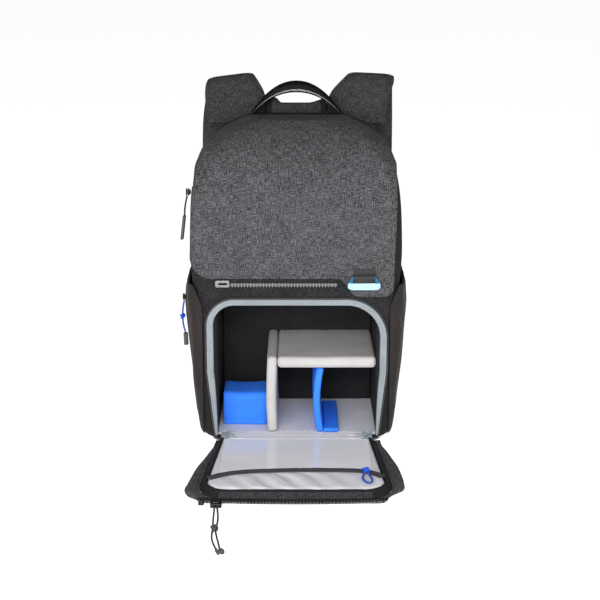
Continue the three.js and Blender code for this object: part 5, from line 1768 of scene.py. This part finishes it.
def make_handle(paints):
    """A glossy crescent band with a bead along its lower front edge; the bead's light grey colour is a
    painted highlight.
    """
    span, low, high, thick = 68, 407.3, 459.2, 14.8
    y = REAR - 0.4 - 12
    steps = 60
    section = [
        (-11.5, 0.05), (-11.9, 0.1), (-11.95, 0.17), (-11.4, 0.23), (-11.0, 0.28), (-11.0, 0.6),
        (-10.0, 0.85), (-6.4, 0.97), (0, 1), (6.4, 0.97), (10.6, 0.82), (11.8, 0.5), (11.4, 0.2),
        (9.6, 0.04), (4, 0.0), (-4, 0.0), (-10.2, 0.0),
    ]
    rings = []
    for i in range(steps + 1):
        share = (2 * i / steps - 1) * 0.955
        drop = abs(share) ** 2.1
        inner = Vector((span * share, y, low + (high - low - thick) * (1 - drop)))
        outer = Vector((span * share, y, low + (high - low) * (1 - drop)))
        rings.append([inner.lerp(outer, b) + Vector((0, a, 0)) for a, b in section])
    verts, faces, uvs = loft(rings)
    made = piece("handle_band", verts, faces, [paints["gloss"], paints["bead"]], "handle_gloss",
                 corner_uvs=uvs, replaces=("carry_handle",), sharp=50)
    # Faces 2 and 3 of the section, the bead, take the light grey paint: a painted highlight along the lower
    # front edge.
    for number, face in enumerate(made.data.polygons):
        face.material_index = 1 if number % len(section) in (2, 3) else 0
    return made


STRAP_OUT = 38
STRAP_RISE = 62.5
STRAP_HANG = 288
STRAP_ROOT_TOP = 399.3
STRAP_WIDTH = 61
STRAP_ROOT_MORE = 21

# Rows of a strap's middle line: out from the back panel, rise, drop, way to the crest's place, way on
# to the hanging end's place, how much wider
STRAP_ROWS = [
    (-0.184, 0, 0, 0, 0, 1), (-0.168, 0.19, 0, 0.02, 0, 1.04), (-0.132, 0.45, 0, 0.06, 0, 1.114),
    (-0.04, 0.704, 0, 0.34, 0, 0.97), (0.105, 0.9, 0, 0.74, 0, 0.58), (0.368, 1, 0, 1, 0, 0.17),
    (0.684, 0.848, 0, 1, 0.2, 0), (0.868, 0.528, 0, 1, 0.5, 0), (0.974, 0, 0, 1, 0.85, 0.02),
    (1, 0, 0.208, 1, 1, 0.03), (0.947, 0, 0.451, 1, 0.95, 0), (0.816, 0, 0.694, 1, 0.8, -0.15),
    (0.632, 0, 0.91, 1, 0.6, -0.4), (0.5, 0, 1, 1, 0.5, -0.75),
]


def strap_course(side):
    """Points of a strap's middle line and its widths."""
    crest, hang = (-92, -104) if side < 0 else (104, 106)
    root = side * (42 + 0.3 + 41)
    spots = []
    for out, rise, drop, to_crest, to_hang, _ in STRAP_ROWS:
        spots.append(Vector((
            root + (crest - root) * to_crest + (hang - crest) * to_hang,
            BACK_FACE + out * STRAP_OUT,
            STRAP_ROOT_TOP + rise * STRAP_RISE - drop * STRAP_HANG,
        )))
    count = 92
    path = [centripetal(spots, i / (count - 1)) for i in range(count)]
    widths = []
    for i in range(count):
        place = i / (count - 1) * (len(STRAP_ROWS) - 1)
        wider = catmull_value([row[5] for row in STRAP_ROWS], place)
        widths.append(STRAP_WIDTH + STRAP_ROOT_MORE * wider)
    return path, widths


def make_strap(side, paints):
    word = "left" if side < 0 else "right"
    path, widths = strap_course(side)
    tilt = 8 if side < 0 else 3
    sides = 40
    rings = []
    seams = {-1: [], 1: []}
    for i, point in enumerate(path):
        along = (path[min(i + 1, len(path) - 1)] - path[max(i - 1, 0)]).normalized()
        normal = Vector((0, -along.z, along.y)).normalized()
        ring = []
        risen = max(0, point.z - 399) / STRAP_RISE
        half = widths[i] / 2

        def spot(share, offset):
            drop = tilt * risen * (share * side + 1) * 0.5
            return Vector((point.x + share * half, point.y, point.z - drop)) + normal * offset

        for k in range(sides):
            angle = 2 * math.pi * k / sides
            c, s = math.cos(angle), math.sin(angle)
            share = math.copysign(abs(c) ** 0.42, c)
            offset = 5.5 * math.copysign(abs(s) ** 0.62, s)
            groove = 0.7 * math.exp(-((abs(share) - 0.86) / 0.035) ** 2) * math.copysign(1, s)
            offset -= groove if abs(s) > 0.25 else 0
            offset += 0.3 * noise.noise(point * 0.04 + Vector((share, s, 0)))
            ring.append(spot(share, offset))
        rings.append(ring)
        if 2 < i < len(path) - 2:
            for edge in (-1, 1):
                seams[edge].append((spot(edge * 0.86, 5.1), normal))
    verts, faces, uvs = loft(rings)
    made = piece("strap_pad_" + word, verts, faces, [paints["strap"], paints["shell"]],
                 "strap_cloth", corner_uvs=uvs, replaces=("shoulder_strap_" + word,))
    for number, face in enumerate(made.data.polygons):
        k = number % sides
        angle = 2 * math.pi * (k + 0.5) / sides
        middle = face.center / MM
        # The strap's side edges take the black shell cloth; its faces under the handle are painted black
        # too, painted shade under the handle.
        shade_under_handle = abs(middle.x) < 60 and 399 < middle.z < 422
        face.material_index = 1 if abs(math.cos(angle)) > 0.97 or shade_under_handle else 0
    for edge, row in seams.items():
        stitches(f"strap_stitch_{word}_{'in' if edge * side < 0 else 'out'}", row, paints["thread"],
                 "strap_cloth")


def make_strap_fittings(side, paints):
    word = "left" if side < 0 else "right"
    low, high = node_box("strap_buckle_" + word)
    outline = rounded([(low.x, low.z, 5), (high.x, low.z, 5), (high.x, high.z, 5), (low.x, high.z, 5)], 4)
    middle = (low.x + high.x) / 2
    slots = []
    for z in (low.z + 6, low.z + 13.5, low.z + 21):
        loop = rounded([(middle - 13.5, z, 1), (middle + 13.5, z, 1), (middle + 13.5, z + 3.4, 1),
                        (middle - 13.5, z + 3.4, 1)], 3)
        slots.append([(p.x, p.y) for p in loop])
    turn = Matrix(((1, 0, 0, 0), (0, 0, -1, (low.y + high.y) / 2), (0, 1, 0, 0), (0, 0, 0, 1)))
    plate("strap_ladder_" + word, [(p.x, p.y) for p in outline], slots, high.y - low.y, 1.3, turn,
          paints["plastic"], "black_plastic", ("strap_buckle_" + word,))
    low, high = node_box("strap_anchor_" + word)
    middle = (low.x + high.x) / 2
    outline = rounded([(low.x, low.z, 3), (high.x, low.z, 3), (middle + 12.5, high.z, 2),
                       (middle - 12.5, high.z, 2)], 4)

    def place(x, z):
        return Vector((x, low.y, z)), Vector((0, 1, 0))

    panel("strap_patch_" + word, outline, place, 2.2, paints["shell"], "shell_cloth", grid=4,
          replaces=("strap_anchor_" + word,))
    low, high = node_box("strap_webbing_" + word)
    anchor_x = side * 106
    strap_end = strap_course(side)[0][-1]
    start = Vector((anchor_x, low.y + 0.75, low.z))
    stop = Vector((strap_end.x, strap_end.y, high.z))
    bend = Vector((anchor_x, low.y + 2.7, low.z + (high.z - low.z) * 0.55))
    path = []
    for i in range(19):
        t = i / 18
        path.append(start * (1 - t) ** 2 + bend * (2 * t * (1 - t)) + stop * t ** 2)
    sweep("strap_web_" + word, path, rounded_profile(-12.5, 12.5, -0.65, 0.65, 0.5),
          Vector((0, 1, 0)), paints["webbing"], "webbing", ("strap_webbing_" + word,), sharp=40)


def make_side_zip(paints):
    path = []
    for i in range(24):
        z = 225 + 111 * i / 23
        half = bag_row(place_at(z))[1] * BAG_WIDTH / 2
        path.append(Vector((-half - 0.3, -45, z)))
    sweep("side_zip_tape", path, rounded_profile(-7, 7, 0, 1.0, 0.45), Vector((-1, 0, 0)),
          paints["tape"], "zip_tape", ("side_zip",), sharp=50)
    coil = [p + Vector((-1.0, 0, 0)) for p in path]
    sweep("side_zip_coil", coil, [(a, b * 0.6) for a, b in circle_profile(1.5, 8)],
          Vector((-1, 0, 0)), paints["coil"], "zip_tape")


def hinge_cloth_paint():
    """Grey lining that turns blue-grey towards its crumpled ends."""
    paint = Paint("hinge_grey", rough=0.85, Specular_IOR_Level=0.35)
    coords = paint.node("ShaderNodeTexCoord")
    split = paint.node("ShaderNodeSeparateXYZ", {0: coords.outputs["Object"]})
    far = paint.maths("ABSOLUTE", split.outputs[0])
    ends = paint.between(far, 0.074, 0.09)
    grain = paint.noise(paint.weave_vector(2.4, 1.2))
    tone = paint.mix(ends, (0.68, 0.67, 0.7), (0.25, 0.29, 0.32))
    paint.link(tone, "Base Color")
    paint.bump(grain, 0.2, 0.0005)
    return paint.material


def window_paint():
    # Near-white lavender, mostly opaque: painted reflection of the bright studio and the blue pads over the
    # clear sheet; its low roughness is real gloss.
    return Paint("vinyl_painted_reflection", (0.96, 0.96, 1.0), 0.1, Alpha=0.7, IOR=1.45).material


make_camera()
random.seed(7)
PAINTS = make_paints()
PAINTS["hinge"] = hinge_cloth_paint()
PAINTS["window"] = window_paint()
make_pull_cord(PAINTS)
make_pocket_loop(PAINTS)
make_side_pulls(PAINTS)
make_stage()
make_shell(PAINTS)
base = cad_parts["base_panel"].data
base.materials.clear()
base.materials.append(PAINTS["plastic"])
make_pocket(-1, PAINTS)
make_pocket(1, PAINTS)
make_back_panel(PAINTS)
make_lid(PAINTS)
make_hook(PAINTS)
make_hook_webbing(PAINTS)
make_front_zip(PAINTS)
make_rim(PAINTS)
make_opening_tape(PAINTS)
make_inserts(PAINTS)
make_dividers(PAINTS)
make_door_cloth(PAINTS)
make_door_pad(PAINTS)
make_door_tape(PAINTS)
make_hinge_lining(PAINTS)
make_window(PAINTS)
make_door_zip(PAINTS)
make_tip_zip(PAINTS)
make_sliders(PAINTS)
make_handle(PAINTS)
for side in (-1, 1):
    make_strap(side, PAINTS)
    make_strap_fittings(side, PAINTS)
make_side_zip(PAINTS)
